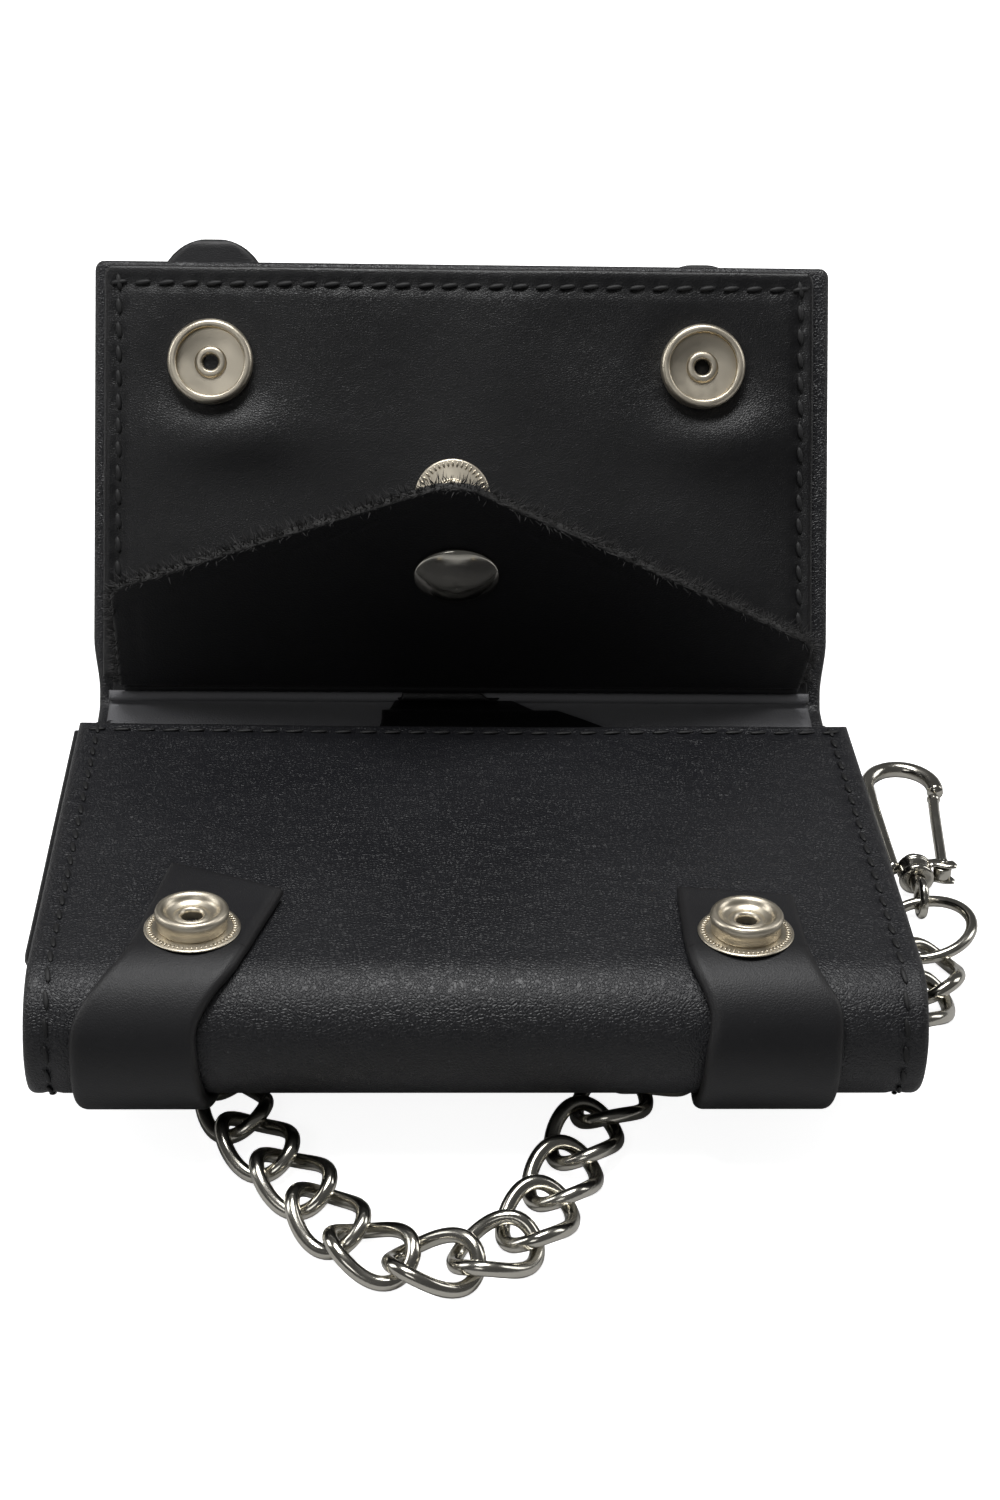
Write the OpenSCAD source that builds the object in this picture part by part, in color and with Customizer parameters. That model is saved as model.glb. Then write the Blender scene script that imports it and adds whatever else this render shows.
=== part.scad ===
// Three-panel leather chain wallet, lying half open on its chain.
// X runs across the wallet, Y from the rounded front bend to the raised flap, Z up from the floor.

/* [Leather] */
// Width of the wallet across the panels
wallet_w = 110; // [108:0.5:112]
// Thickness of the outer leather
cover_t = 1.8; // [1.6:0.1:1.9]
// Thickness of the lining leather
lining_t = 1.0; // [0.8:0.1:1.0]
// Outer radius of the front bend
fold_r = 9; // [9:0.1:9.2]
// Length of the front panel behind the crown of the bend
front_l = 64.6; // [62:0.2:65]
// Slope of the front panel down towards the rear
front_slope = 6.7; // [6.4:0.1:7]
// Length of the raised flap from its crease to its free edge
flap_l = 68.2; // [67:0.2:69]
// Angle of the raised flap above the floor behind it
flap_angle = 56.8; // [56:0.2:58]

/* [Straps] */
// Width of the two straps
strap_w = 16; // [15.5:0.5:17]
// Thickness of the strap leather
strap_t = 2; // [1.8:0.1:2]
// Place of the left strap
left_x = -37.6; // [-38.5:0.1:-37]
// Place of the right strap
right_x = 35.6; // [35:0.1:36.5]

/* [Snaps] */
// Outside diameter of the strap snap sockets and caps
snap_d = 12.6; // [12:0.1:12.6]
// Diameter of the ring of a strap stud
stud_ring_d = 9; // [8.8:0.1:9.1]
// Diameter of the coin snap cap
coin_cap_d = 12.2; // [12:0.1:12.4]

/* [Chain] */
// Wire diameter of the links
wire_d = 1.9; // [1.7:0.05:1.9]
// Half length of a link along the middle of its wire
link_a = 5.3; // [5.3:0.05:5.4]
// Half width of a link along the middle of its wire
link_b = 4; // [3.9:0.05:4.1]
// Height of the twist to each side
link_c = 1.3; // [1.25:0.05:1.3]
// Distance from link to link
pitch = 8; // [7.9:0.05:8]

/* [Hidden] */
$fn = 48;

// colours
black = [0.11, 0.11, 0.12];
soft_black = [0.16, 0.16, 0.18];
nickel = [0.78, 0.76, 0.72];
brass = [0.72, 0.6, 0.36];

// The origin is under the middle of the whole object.
middle = [7.6, 14.2, 0.07];

// heights and places in the side view, as [y, z]
gap = 0.05;
chain_top = 4.6;
under_z = chain_top + strap_t;
fold_c = [-31, under_z + fold_r];
back_end = 33;
spine_start = 43;
crease = [48.8, 7.94];
pouch_gap = 0.3;
wall_t = 0.8;
cover_in = -lining_t - pouch_gap - wall_t;
cover_mid = cover_in - cover_t / 2;
cover_out = cover_in - cover_t;
bend_r = cover_t / 2;

// the bend at the foot of the flap is where the middles of the two covers meet
cover_mid_z = under_z + bend_r;
crease_foot = (cover_mid_z - crease[1] - cover_mid * cos(flap_angle)) / sin(flap_angle);
bend_c = [crease[0] - cover_mid * sin(flap_angle) + crease_foot * cos(flap_angle), cover_mid_z];
bend_room = bend_r + gap;

flap_w_foot = wallet_w - 1.8;
flap_step = 9.4;
coin_axis_y = 4.7;
coin_axis_z = 0.75;
coin_lean = 56;
coin_t = 1.3;
coin_snap_x = -1.6;
coin_snap_y = 28.9;
coin_stud_y = 33.2;
socket_y = flap_l - 15.4;
stud_h = 2.95;
post_r = 1.5;
hole_r = 1.55;

// moves into the frame of each panel: Y along the panel, Z towards its open side
module at_flap() {
    translate([0, crease[0], crease[1]]) rotate([flap_angle, 0, 0]) children();
}
module at_front() {
    translate([0, fold_c[0], fold_c[1]]) rotate([-front_slope, 0, 0]) children();
}
module at_coin() {
    at_flap() translate([0, coin_axis_y, coin_axis_z]) rotate([coin_lean, 0, 0]) children();
}

// a flat panel from y0 to y1 and z0 to z1, with its far corners rounded by r
module panel(x0, x1, y0, y1, z0, z1, r = 0.01) {
    translate([0, 0, z0]) linear_extrude(z1 - z0) difference() {
        translate([x0, y0]) square([x1 - x0, y1 - y0]);
        if (r > 0.1) for (side = [0, 1]) {
            cx = side == 0 ? x0 + r : x1 - r;
            difference() {
                translate([side == 0 ? x0 - 1 : cx, y1 - r]) square([r + 1, r + 1]);
                translate([cx, y1 - r]) circle(r);
            }
        }
    }
}
// a ring sector in the side view, pushed out across the wallet
module bend_sector(x0, x1, c, r_in, r_out, a0, a1) {
    translate([x0, c[0], c[1]]) rotate([90, 0, 90]) linear_extrude(x1 - x0) intersection() {
        difference() {
            circle(r_out, $fn = 96);
            circle(r_in, $fn = 96);
        }
        polygon(concat([[0, 0]], [for (i = [0:6]) let (a = a0 + (a1 - a0) * i / 6)
            3 * r_out * [cos(a), sin(a)]]));
    }
}
module tube(r_out, r_in, z0, z1) {
    translate([0, 0, z0]) difference() {
        cylinder(h = z1 - z0, r = r_out);
        translate([0, 0, -1]) cylinder(h = z1 - z0 + 2, r = r_in);
    }
}
module ring(r_mid, r_wire) {
    rotate_extrude($fn = 64) translate([r_mid, 0]) circle(r_wire, $fn = 24);
}
module rod(p, q, r) {
    d = q - p;
    translate(p) rotate([0, acos(d[2] / norm(d)), atan2(d[1], d[0])]) cylinder(h = norm(d), r = r, $fn = 24);
}
module snap_holes(y) {
    for (x = [left_x, right_x]) translate([x, y, -20]) cylinder(h = 40, r = hole_r);
}

// middle panel
module back_cover() color(black)
    panel(-wallet_w / 2, wallet_w / 2, fold_c[0], back_end, under_z, under_z + cover_t);
module back_lining() color(soft_black)
    panel(-53, 53, fold_c[0], back_end, under_z + cover_t, under_z + cover_t + lining_t);
module slant_pocket() color(black)
    translate([0, 0, under_z + cover_t + lining_t]) linear_extrude(lining_t)
        polygon([[-52, 4], [52, 4], [52, 28], [30, 37], [13, 47], [-11, 47], [-16, 31], [-52, 28]]);
module strap_back(x) color(black)
    panel(x - strap_w / 2, x + strap_w / 2, fold_c[0], back_end, chain_top, under_z);
module strap_back_left() strap_back(left_x);
module strap_back_right() strap_back(right_x);

// leather loop that holds the end of the first link
tab_x = 46.3;
tab_y = 34;
tab_w = 1.4;
tab_in = 1.75;
tab_out = 2.2;
tab_z = 2.28;
module chain_tab() color(black) difference() {
    union() {
        translate([tab_x, tab_y + tab_w / 2, tab_z]) rotate([90, 0, 0]) cylinder(h = tab_w, r = tab_out);
        translate([tab_x, tab_y - tab_w / 2, tab_z]) cube([tab_out, tab_w, under_z - tab_z]);
        translate([tab_x, tab_y - 5.5, chain_top]) cube([7.5, 6.5, under_z - chain_top]);
    }
    translate([tab_x, tab_y + tab_w, tab_z]) rotate([90, 0, 0]) cylinder(h = 2 * tab_w, r = tab_in);
    translate([tab_x + 5, tab_y - 3.5, 0]) cylinder(h = 10, r = 1.25);
}
module tab_rivet() color(nickel) translate([tab_x + 5, tab_y - 3.5, 0]) {
    translate([0, 0, chain_top - 0.6]) cylinder(h = 0.6, r = 2);
    translate([0, 0, chain_top - 0.1]) cylinder(h = under_z - chain_top + 0.1, r = 1.2);
}

// front bend
crown_a = 90 - front_slope;
module front_fold() color(black)
    bend_sector(-wallet_w / 2, wallet_w / 2, fold_c, fold_r - cover_t, fold_r, crown_a, 270);
module fold_lining() color(soft_black)
    bend_sector(-53, 53, fold_c, fold_r - cover_t - lining_t, fold_r - cover_t, crown_a, 270);
strap_front_x = [-41.7, 36.1];
module strap_front(x) color(black)
    bend_sector(x - strap_w / 2, x + strap_w / 2, fold_c, fold_r, fold_r + strap_t, crown_a, 270);
module strap_front_left() strap_front(strap_front_x[0]);
module strap_front_right() strap_front(strap_front_x[1]);

// rear bend and the stiff strip behind it
module rear_fold() color(black)
    panel(-wallet_w / 2 + 0.4, wallet_w / 2 - 0.4, back_end, spine_start, under_z, under_z + cover_t);
module rear_lining() color(soft_black)
    panel(-52, 52, back_end, spine_start, under_z + cover_t, under_z + cover_t + lining_t);
module strap_rear(x) color(black)
    panel(x - strap_w / 2, x + strap_w / 2, back_end, spine_start, chain_top, under_z);
module strap_rear_left() strap_rear(left_x);
module strap_rear_right() strap_rear(right_x);
module rear_spine() color(black)
    panel(-wallet_w / 2 + 0.4, wallet_w / 2 - 0.4, spine_start, bend_c[0] - bend_room, under_z, under_z + cover_t);
module spine_lining() color(soft_black)
    panel(-52, 52, spine_start, crease[0], under_z + cover_t, under_z + cover_t + lining_t);
module spine_straps() color(black) for (x = [left_x, right_x])
    panel(x - strap_w / 2, x + strap_w / 2, spine_start, bend_c[0] - bend_room, chain_top, under_z);
module flap_crease() color(black) {
    translate([-flap_w_foot / 2, bend_c[0], bend_c[1]]) rotate([0, 90, 0]) cylinder(h = flap_w_foot, r = bend_r);
    for (x = [left_x, right_x])
        bend_sector(x - strap_w / 2, x + strap_w / 2, bend_c, bend_r - 0.1, bend_r + strap_t,
            270, 270 + flap_angle - 2);
}

// raised flap, with its layers stacked outwards from the stitched lining
module flap_cover() color(black) at_flap() difference() {
    union() {
        panel(-flap_w_foot / 2, flap_w_foot / 2, crease_foot + bend_room, flap_step + 1, cover_out, cover_in);
        panel(-wallet_w / 2, wallet_w / 2, flap_step, flap_l, cover_out, cover_in, 1.5);
    }
    snap_holes(socket_y);
}
module pouch_back() color(soft_black) at_flap() difference() {
    panel(-52, 52, 3.4, 66.6, cover_in, cover_in + wall_t, 1.5);
    snap_holes(socket_y);
}
module flap_lining() color(soft_black) at_flap() difference() {
    panel(-53.4, 52.4, 6.2, 67.2, -lining_t, 0, 1.5);
    snap_holes(socket_y);
    translate([coin_snap_x, coin_stud_y, -5]) cylinder(h = 10, r = hole_r);
}
strap_out = cover_out - strap_t;
module strap_flap(x, top) color(black) at_flap() difference() {
    panel(x - strap_w / 2, x + strap_w / 2, crease_foot + bend_room + 1.6, top, strap_out, cover_out, 8);
    snap_holes(socket_y);
}
module strap_flap_left() strap_flap(left_x, flap_l + 3.7);
module strap_flap_right() strap_flap(right_x, flap_l + 0.7);

// strap snaps, socket side
socket_h = 2.6;
module snap_sockets() color(nickel) at_flap() for (x = [left_x, right_x]) translate([x, socket_y, 0]) {
    tube(snap_d / 2, 5.6, 0, socket_h);
    tube(snap_d / 2 - 0.4, 5, socket_h - 0.45, socket_h);
    tube(5.7, post_r, 0, 0.5);
}
module snap_springs() color(brass) at_flap() for (x = [left_x, right_x])
    translate([x, socket_y, 1.85]) ring(5.25, 0.25);
cap_h = 1.6;
module snap_caps() color(nickel) at_flap() for (x = [left_x, right_x]) translate([x, socket_y, 0]) {
    tube(post_r, 0.7, strap_out - 0.3, 0.55);
    tube(2.2, 0.7, 0.5, 1);
    translate([0, 0, strap_out]) mirror([0, 0, 1]) intersection() {
        cylinder(h = cap_h, r = snap_d / 2);
        translate([0, 0, -12.4]) sphere(14, $fn = 96);
    }
}

// coin snap
module coin_stud() color(nickel) at_flap() translate([coin_snap_x, coin_stud_y, 0]) {
    tube(5.7, post_r, 0, 0.45);
    tube(2.4, post_r, 0.4, 1.9);
}
module coin_post() color(nickel) at_flap() translate([coin_snap_x, coin_stud_y, 0]) {
    tube(post_r, 0.7, -lining_t - 0.2, 2);
    tube(4, 0.7, -lining_t - 0.25, -lining_t);
}
module coin_crease() color(black) at_flap()
    translate([-50.5, coin_axis_y, coin_axis_z]) rotate([0, 90, 0]) cylinder(h = 100.6, r = 0.65);
coin_apex = [-2.5, 40.6];
coin_apex_r = 7.4;
coin_apex_a = [55.4, 117];
coin_outline = concat([[-50.8, 0.75], [50.3, 0.75], [51.2, 12.5]],
    [for (i = [0:8]) let (a = coin_apex_a[0] + (coin_apex_a[1] - coin_apex_a[0]) * i / 8)
        coin_apex + coin_apex_r * [cos(a), sin(a)]],
    [[-50.4, 24.5]]);
module coin_flap() color(black) at_coin() difference() {
    translate([0, 0, -coin_t / 2]) linear_extrude(coin_t) polygon(coin_outline);
    translate([coin_snap_x, coin_snap_y, -5]) cylinder(h = 10, r = 1.3);
}
module coin_cap() color(nickel) at_coin() translate([coin_snap_x, coin_snap_y, coin_t / 2]) {
    intersection() {
        cylinder(h = 2.6, r = coin_cap_d / 2);
        translate([0, 0, -7.1]) sphere(9.6, $fn = 96);
    }
    translate([0, 0, -coin_t - 0.4]) cylinder(h = coin_t + 0.5, r = 1.25);
}
module coin_socket() color(nickel) at_coin() translate([coin_snap_x, coin_snap_y, -coin_t / 2]) mirror([0, 0, 1]) {
    tube(5.2, 1.25, 0, 0.4);
    tube(5.2, 3.9, 0.3, 1.8);
    tube(4.8, 3.1, 1.4, 1.8);
}
module coin_spring() color(brass) at_coin() translate([coin_snap_x, coin_snap_y, -coin_t / 2 - 0.9])
    ring(3.5, 0.22);

// front panel, with its layers stacked inwards from the outer leather
card_t = 1;
front_in = fold_r - cover_t - lining_t;
module front_cover() color(black) at_front()
    panel(-wallet_w / 2, wallet_w / 2, 0, front_l, fold_r - cover_t, fold_r, 3);
module front_lining() color(soft_black) at_front()
    panel(-wallet_w / 2 - 0.9, wallet_w / 2 - 0.4, 0, front_l + 0.9, front_in, fold_r - cover_t, 3);
module card_pocket(n, length) color(soft_black) at_front()
    panel(-52, 52, 6, length, front_in - n * card_t, front_in - (n - 1) * card_t, 2);
module card_pocket_1() card_pocket(1, 62);
module card_pocket_2() card_pocket(2, 50);
module card_pocket_3() card_pocket(3, 38);

// free strap ends, turned a little towards the middle, and their studs
tip_left = [[-43, gap], [-41.1, 9], [-38.9, 20.4], [-24.3, 13.8], [-28.3, gap]];
tip_right = [[25.6, gap], [25.7, 14.6], [40.5, 12.6], [40.8, gap]];
stud_left_at = [-35.1, 3.6];
stud_right_at = [33.2, 3.2];
module strap_tip(outline, at) color(black) at_front() difference() {
    translate([0, 0, fold_r]) linear_extrude(strap_t) polygon(outline);
    translate([at[0], at[1], 0]) cylinder(h = 20, r = hole_r);
    translate([at[0], at[1], fold_r - 1]) cylinder(h = 1.4, r = 3.1);
}
module strap_tip_left() strap_tip(tip_left, stud_left_at);
module strap_tip_right() strap_tip(tip_right, stud_right_at);
module stud(at) color(nickel) at_front() translate([at[0], at[1], fold_r + strap_t]) {
    tube(6, post_r, 0, 0.3);
    tube(stud_ring_d / 2, 3.3, 0.25, stud_h);
    tube(3.4, post_r, 0.25, 0.8);
}
module stud_left() stud(stud_left_at);
module stud_right() stud(stud_right_at);
module stud_post(at) color(nickel) at_front() translate([at[0], at[1], fold_r]) {
    tube(3, 0.7, 0.05, 0.4);
    tube(post_r, 0.7, 0.3, strap_t + 1);
    tube(2.1, 0.7, strap_t + 0.8, strap_t + 1.1);
}
module stud_post_left() stud_post(stud_left_at);
module stud_post_right() stud_post(stud_right_at);

// Chain. Each link is one closed wire that twists as it goes round, and lies flat on the floor.
link_z = 2.28;
chain_start = [41, 34];
chain_heading = 180;
turns = [-7, -4, 2, 8, 15, 20, 17, 11, 5, 2, 1, 2, 5, 10, 17, 20, 3, -8, 28, 32, 32, 32, 4, 1,
    -15, -21, -18, -8, 5, 18, 26, 29];
run_first = [0, 4, 8, 12, 16, 20, 24, 28];
run_count = [4, 4, 4, 4, 4, 4, 4, 5];

function heading(i) = i == 0 ? chain_heading : heading(i - 1) + turns[i - 1];
function link_place(i) = i == 0 ? chain_start
    : link_place(i - 1) + pitch / 2 * ([cos(heading(i - 1)), sin(heading(i - 1))] + [cos(heading(i)), sin(heading(i))]);
function wire_point(t) = [link_a * cos(t), link_b * sin(t), link_c * sin(2 * t)];
function unit(v) = v / norm(v);
steps = 20;
sides = 8;
module link() {
    points = [for (i = [0:steps - 1]) let (
        t = 360 * i / steps,
        along = unit(wire_point(t + 1) - wire_point(t - 1)),
        across = unit(cross(along, [0, 0, 1])),
        up = cross(across, along)
    ) for (j = [0:sides - 1]) wire_point(t)
        + wire_d / 2 * (cos(360 * j / sides) * across + sin(360 * j / sides) * up)];
    faces = [for (i = [0:steps - 1]) for (j = [0:sides - 1]) let (
        i2 = (i + 1) % steps,
        j2 = (j + 1) % sides
    ) [i * sides + j, i2 * sides + j, i2 * sides + j2, i * sides + j2]];
    polyhedron(points, faces);
}
module run(n) color(nickel) for (i = [run_first[n]:run_first[n] + run_count[n] - 1])
    translate([link_place(i)[0], link_place(i)[1], link_z]) rotate(heading(i)) link();
module chain_1() run(0);
module chain_2() run(1);
module chain_3() run(2);
module chain_4() run(3);
module chain_5() run(4);
module chain_6() run(5);
module chain_7() run(6);
module chain_8() run(7);

// Round ring on the last link, tilted a little so that it passes through the twist.
last = 32;
end_r = 6.4;
end_wire = 0.8;
end_tilt = -14;
end_reach = 2.9;
end_z = 2.42;
end_dir = [cos(heading(last)), sin(heading(last))];
end_c = link_place(last) + (end_reach + end_r) * end_dir;
module end_ring() color(nickel)
    translate([end_c[0], end_c[1], end_z]) rotate(heading(last)) rotate([end_tilt, 0, 0]) ring(end_r, end_wire);

// Snap hook, laid along Y beyond the ring. Its own frame starts at the middle of the swivel eye.
eye_r = 2.3;
eye_wire = 0.65;
eye_z = 3.05;
hook_place = [end_c[0] + 0.4, end_c[1] + end_r, eye_z];
barrel_0 = 4;
barrel_1 = 7.5;
barrel_r = 2.5;
pin_r = 1.1;
module at_hook() translate(hook_place) children();
module swivel_eye() color(nickel) at_hook() {
    rotate([0, 90, 0]) ring(eye_r, eye_wire);
    translate([0, eye_r, 0]) rotate([-90, 0, 0]) cylinder(h = barrel_1 - eye_r + 0.3, r = pin_r);
    translate([0, barrel_1 + 0.15, 0]) rotate([-90, 0, 0]) cylinder(h = 1.2, r = 1.7);
}
spine_foot = [-3, barrel_1 - 0.8, 0];
spine_mid = [-3.6, 20, 0];
bow_c = [1.2, 27, 0];
bow_r = 5;
bow_end_a = -12;
gate_foot = [4, barrel_1 - 1, 0];
hook_wire = 0.95;
bow_wire = 1.15;
bow_start = bow_c - [bow_r, 0, 0];
nose = bow_c + bow_r * [cos(bow_end_a), sin(bow_end_a), 0];
module hook_body() color(nickel) at_hook() {
    difference() {
        union() {
            translate([0, barrel_0, 0]) rotate([-90, 0, 0]) cylinder(h = barrel_1 - barrel_0, r = barrel_r);
            for (z = [-1.7, 1]) translate([gate_foot[0] - 2.6, gate_foot[1] - 1.7, z]) cube([4.2, 2.7, 0.7]);
        }
        rotate([-90, 0, 0]) cylinder(h = 20, r = pin_r + 0.05);
        translate([gate_foot[0], gate_foot[1], -5]) cylinder(h = 10, r = 0.6);
    }
    rod(spine_foot, spine_mid, hook_wire);
    translate(spine_mid) sphere(hook_wire + 0.1, $fn = 24);
    rod(spine_mid, bow_start, hook_wire);
    translate(bow_start) sphere(bow_wire + 0.1, $fn = 24);
    translate(bow_c) rotate(bow_end_a) rotate_extrude(angle = 180 - bow_end_a, $fn = 64)
        translate([bow_r, 0]) circle(bow_wire, $fn = 24);
    translate(nose) sphere(bow_wire + 0.2, $fn = 24);
}
gate_tip = nose + [-0.9, -2.3, 0];
module hook_gate() color(nickel) at_hook() difference() {
    union() {
        translate(gate_foot + [0, 0, -0.9]) cylinder(h = 1.8, r = 1.3);
        rod(gate_foot + [0.1, 0.6, 0], gate_tip, 0.8);
        translate(gate_tip) sphere(1, $fn = 24);
    }
    translate(gate_foot + [0, 0, -5]) cylinder(h = 10, r = 0.6);
}
module gate_pin() color(nickel) at_hook() translate(gate_foot + [0, 0, -1.9]) cylinder(h = 3.8, r = 0.55);

module placed() translate(-middle) children();
placed() back_cover();
placed() back_lining();
placed() slant_pocket();
placed() strap_back_left();
placed() strap_back_right();
placed() chain_tab();
placed() tab_rivet();
placed() front_fold();
placed() fold_lining();
placed() strap_front_left();
placed() strap_front_right();
placed() rear_fold();
placed() rear_lining();
placed() strap_rear_left();
placed() strap_rear_right();
placed() rear_spine();
placed() spine_lining();
placed() spine_straps();
placed() flap_crease();
placed() flap_cover();
placed() pouch_back();
placed() flap_lining();
placed() strap_flap_left();
placed() strap_flap_right();
placed() snap_sockets();
placed() snap_springs();
placed() snap_caps();
placed() coin_stud();
placed() coin_post();
placed() coin_crease();
placed() coin_flap();
placed() coin_cap();
placed() coin_socket();
placed() coin_spring();
placed() front_cover();
placed() front_lining();
placed() card_pocket_1();
placed() card_pocket_2();
placed() card_pocket_3();
placed() strap_tip_left();
placed() strap_tip_right();
placed() stud_left();
placed() stud_right();
placed() stud_post_left();
placed() stud_post_right();
placed() chain_1();
placed() chain_2();
placed() chain_3();
placed() chain_4();
placed() chain_5();
placed() chain_6();
placed() chain_7();
placed() chain_8();
placed() end_ring();
placed() swivel_eye();
placed() hook_body();
placed() hook_gate();
placed() gate_pin();
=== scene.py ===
import bpy
import math
from mathutils import Matrix, Vector, noise


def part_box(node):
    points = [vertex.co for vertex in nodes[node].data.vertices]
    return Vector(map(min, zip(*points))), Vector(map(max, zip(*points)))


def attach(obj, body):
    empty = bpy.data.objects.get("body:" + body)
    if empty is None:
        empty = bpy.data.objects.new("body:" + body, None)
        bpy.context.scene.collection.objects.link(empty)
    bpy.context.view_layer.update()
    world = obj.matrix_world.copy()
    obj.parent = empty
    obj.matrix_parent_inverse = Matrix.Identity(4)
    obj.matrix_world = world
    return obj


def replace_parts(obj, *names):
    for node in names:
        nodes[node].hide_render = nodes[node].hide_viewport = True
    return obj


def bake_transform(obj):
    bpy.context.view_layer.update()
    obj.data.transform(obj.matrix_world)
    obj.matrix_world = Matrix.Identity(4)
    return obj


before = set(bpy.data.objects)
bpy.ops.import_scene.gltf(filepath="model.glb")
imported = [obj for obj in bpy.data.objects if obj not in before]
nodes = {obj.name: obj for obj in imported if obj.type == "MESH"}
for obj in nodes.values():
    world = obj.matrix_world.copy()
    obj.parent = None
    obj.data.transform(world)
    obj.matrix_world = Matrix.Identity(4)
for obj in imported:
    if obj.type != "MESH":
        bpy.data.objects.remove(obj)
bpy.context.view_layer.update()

# Lengths are in millimetres from the wallet's own middle. toFrame turns them into the frame's metres.
middle = Vector((-55, -31, 6.6)) - Vector(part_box("back_cover")[0]) * 1000
wallet = {
    "width": 110, "cover": 1.8, "lining": 1.0,
    "foldRadius": 9, "foldY": -31, "underZ": 6.6, "frontLength": 64.6, "frontSlope": 6.7,
    "flapLength": 68.2, "flapAngle": 56.8, "creaseY": 48.8, "creaseZ": 7.94,
    "coinY": 4.7, "coinZ": 0.75, "coinLean": 56, "snapLeft": -37.6, "snapRight": 35.6,
}
foldZ = wallet["underZ"] + wallet["foldRadius"]
half = wallet["width"] / 2


def toFrame(point):
    return (Vector(point) - middle) * 0.001


def turned(y, z, angle, originY, originZ):
    c, s = math.cos(math.radians(angle)), math.sin(math.radians(angle))
    return originY + y * c - z * s, originZ + y * s + z * c


def flapPoint(x, y, z):
    return Vector((x, *turned(y, z, wallet["flapAngle"], wallet["creaseY"], wallet["creaseZ"])))


def frontPoint(x, y, z):
    return Vector((x, *turned(y, z, -wallet["frontSlope"], wallet["foldY"], foldZ)))


def coinPoint(x, y, z):
    y2, z2 = turned(y, z, wallet["coinLean"], wallet["coinY"], wallet["coinZ"])
    return flapPoint(x, y2, z2)


def backPoint(x, y, z):
    return Vector((x, y, z))


def wrapPoint(x, s, n):
    # s is 0 at the crown of the bend, grows backwards along the front panel and falls round the bend and under
    # the middle panel; n is the height off the leather's outer face
    r = wallet["foldRadius"]
    if s >= 0:
        return frontPoint(x, s, r + n)
    arc = math.radians(180 + wallet["frontSlope"]) * r
    if -s < arc:
        a = math.radians(90 - wallet["frontSlope"]) - s / r
        return Vector((x, wallet["foldY"] + (r + n) * math.cos(a), foldZ + (r + n) * math.sin(a)))
    return Vector((x, wallet["foldY"] + (-s - arc), wallet["underZ"] - n))


wrapArc = math.radians(180 + wallet["frontSlope"]) * wallet["foldRadius"]


# ---- meshes ----

def makeObject(name, verts, faces, material, smooth=True, attributes=None):
    mesh = bpy.data.meshes.new(name)
    mesh.from_pydata([toFrame(v) for v in verts], [], faces)
    mesh.validate()
    if smooth:
        mesh.polygons.foreach_set("use_smooth", [True] * len(mesh.polygons))
    for key, values in (attributes or {}).items():
        mesh.attributes.new(key, "FLOAT", "POINT").data.foreach_set("value", values)
    mesh.materials.append(material)
    mesh.update()
    obj = bpy.data.objects.new(name, mesh)
    bpy.context.scene.collection.objects.link(obj)
    return obj


def fixNormals(obj):
    import bmesh
    bm = bmesh.new()
    bm.from_mesh(obj.data)
    bmesh.ops.remove_doubles(bm, verts=bm.verts, dist=1e-6)
    bmesh.ops.recalc_face_normals(bm, faces=bm.faces)
    bm.to_mesh(obj.data)
    bm.free()
    return obj


def fineSteps(length, step, near=(0, 0.1, 0.3, 0.6, 1.0, 1.5)):
    # places from 0 to length: close together near both ends, even in between
    inner = [near[-1] + i * (length - 2 * near[-1]) / max(2, round((length - 2 * near[-1]) / step))
             for i in range(1, max(2, round((length - 2 * near[-1]) / step)))]
    return list(near) + inner + [length - d for d in reversed(near)]


def sharpen(obj, corners):
    # keeps the shading of a square end apart from the faces beside it
    for line in obj.data.edges:
        if line.vertices[0] in corners and line.vertices[1] in corners:
            line.use_edge_sharp = True


def leatherSheet(name, body, material, toPoint, left, right, y0, y1, thick, step=1.0, rounding=0.55,
                 outer=0.0, press=None, bend=None, openEnds=(False, False)):
    leftAt = left if callable(left) else (lambda y: left)
    rightAt = right if callable(right) else (lambda y: right)
    rows = [y0 + d for d in fineSteps(y1 - y0, step)]
    widest = max(rightAt(y) - leftAt(y) for y in rows)
    columns = [d / widest for d in fineSteps(widest, step)]
    radius = thick * rounding

    def heightShare(d):
        if d >= radius:
            return 1.0
        return 0.16 + 0.84 * math.sqrt(max(0, 1 - (1 - d / radius) ** 2))

    verts, edge = [], []
    for sign in (1, -1):
        for y in rows:
            a, b = leftAt(y), rightAt(y)
            for c in columns:
                x = a + (b - a) * c
                d = min(x - a, b - x)
                if not openEnds[0]:
                    d = min(d, y - y0)
                if not openEnds[1]:
                    d = min(d, y1 - y)
                h = thick / 2 * heightShare(d)
                z = outer - thick / 2 + sign * h
                if press and sign > 0:
                    z += press(x, y)
                if bend:
                    z += bend(x, y)
                verts.append(toPoint(x, y, z))
                edge.append(max(0.0, 1 - d / (radius * 1.4)))
    nc, nr = len(columns), len(rows)
    under = nc * nr
    faces = []
    for r in range(nr - 1):
        for c in range(nc - 1):
            i = r * nc + c
            faces.append((i, i + 1, i + nc + 1, i + nc))
            faces.append((under + i, under + i + nc, under + i + nc + 1, under + i + 1))
    rim = [c for c in range(nc)] + [r * nc + nc - 1 for r in range(1, nr)]
    rim += [(nr - 1) * nc + c for c in range(nc - 2, -1, -1)] + [r * nc for r in range(nr - 2, 0, -1)]
    for i, a in enumerate(rim):
        b = rim[(i + 1) % len(rim)]
        faces.append((a, under + a, under + b, b))
    obj = makeObject(name, verts, faces, material, attributes={"edge": edge})
    fixNormals(obj)
    openRows = {c for k, r in ((0, 0), (1, nr - 1)) if openEnds[k] for c in range(r * nc, r * nc + nc)}
    sharpen(obj, openRows | {under + i for i in openRows})
    if body:
        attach(obj, body)
    return obj


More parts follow.
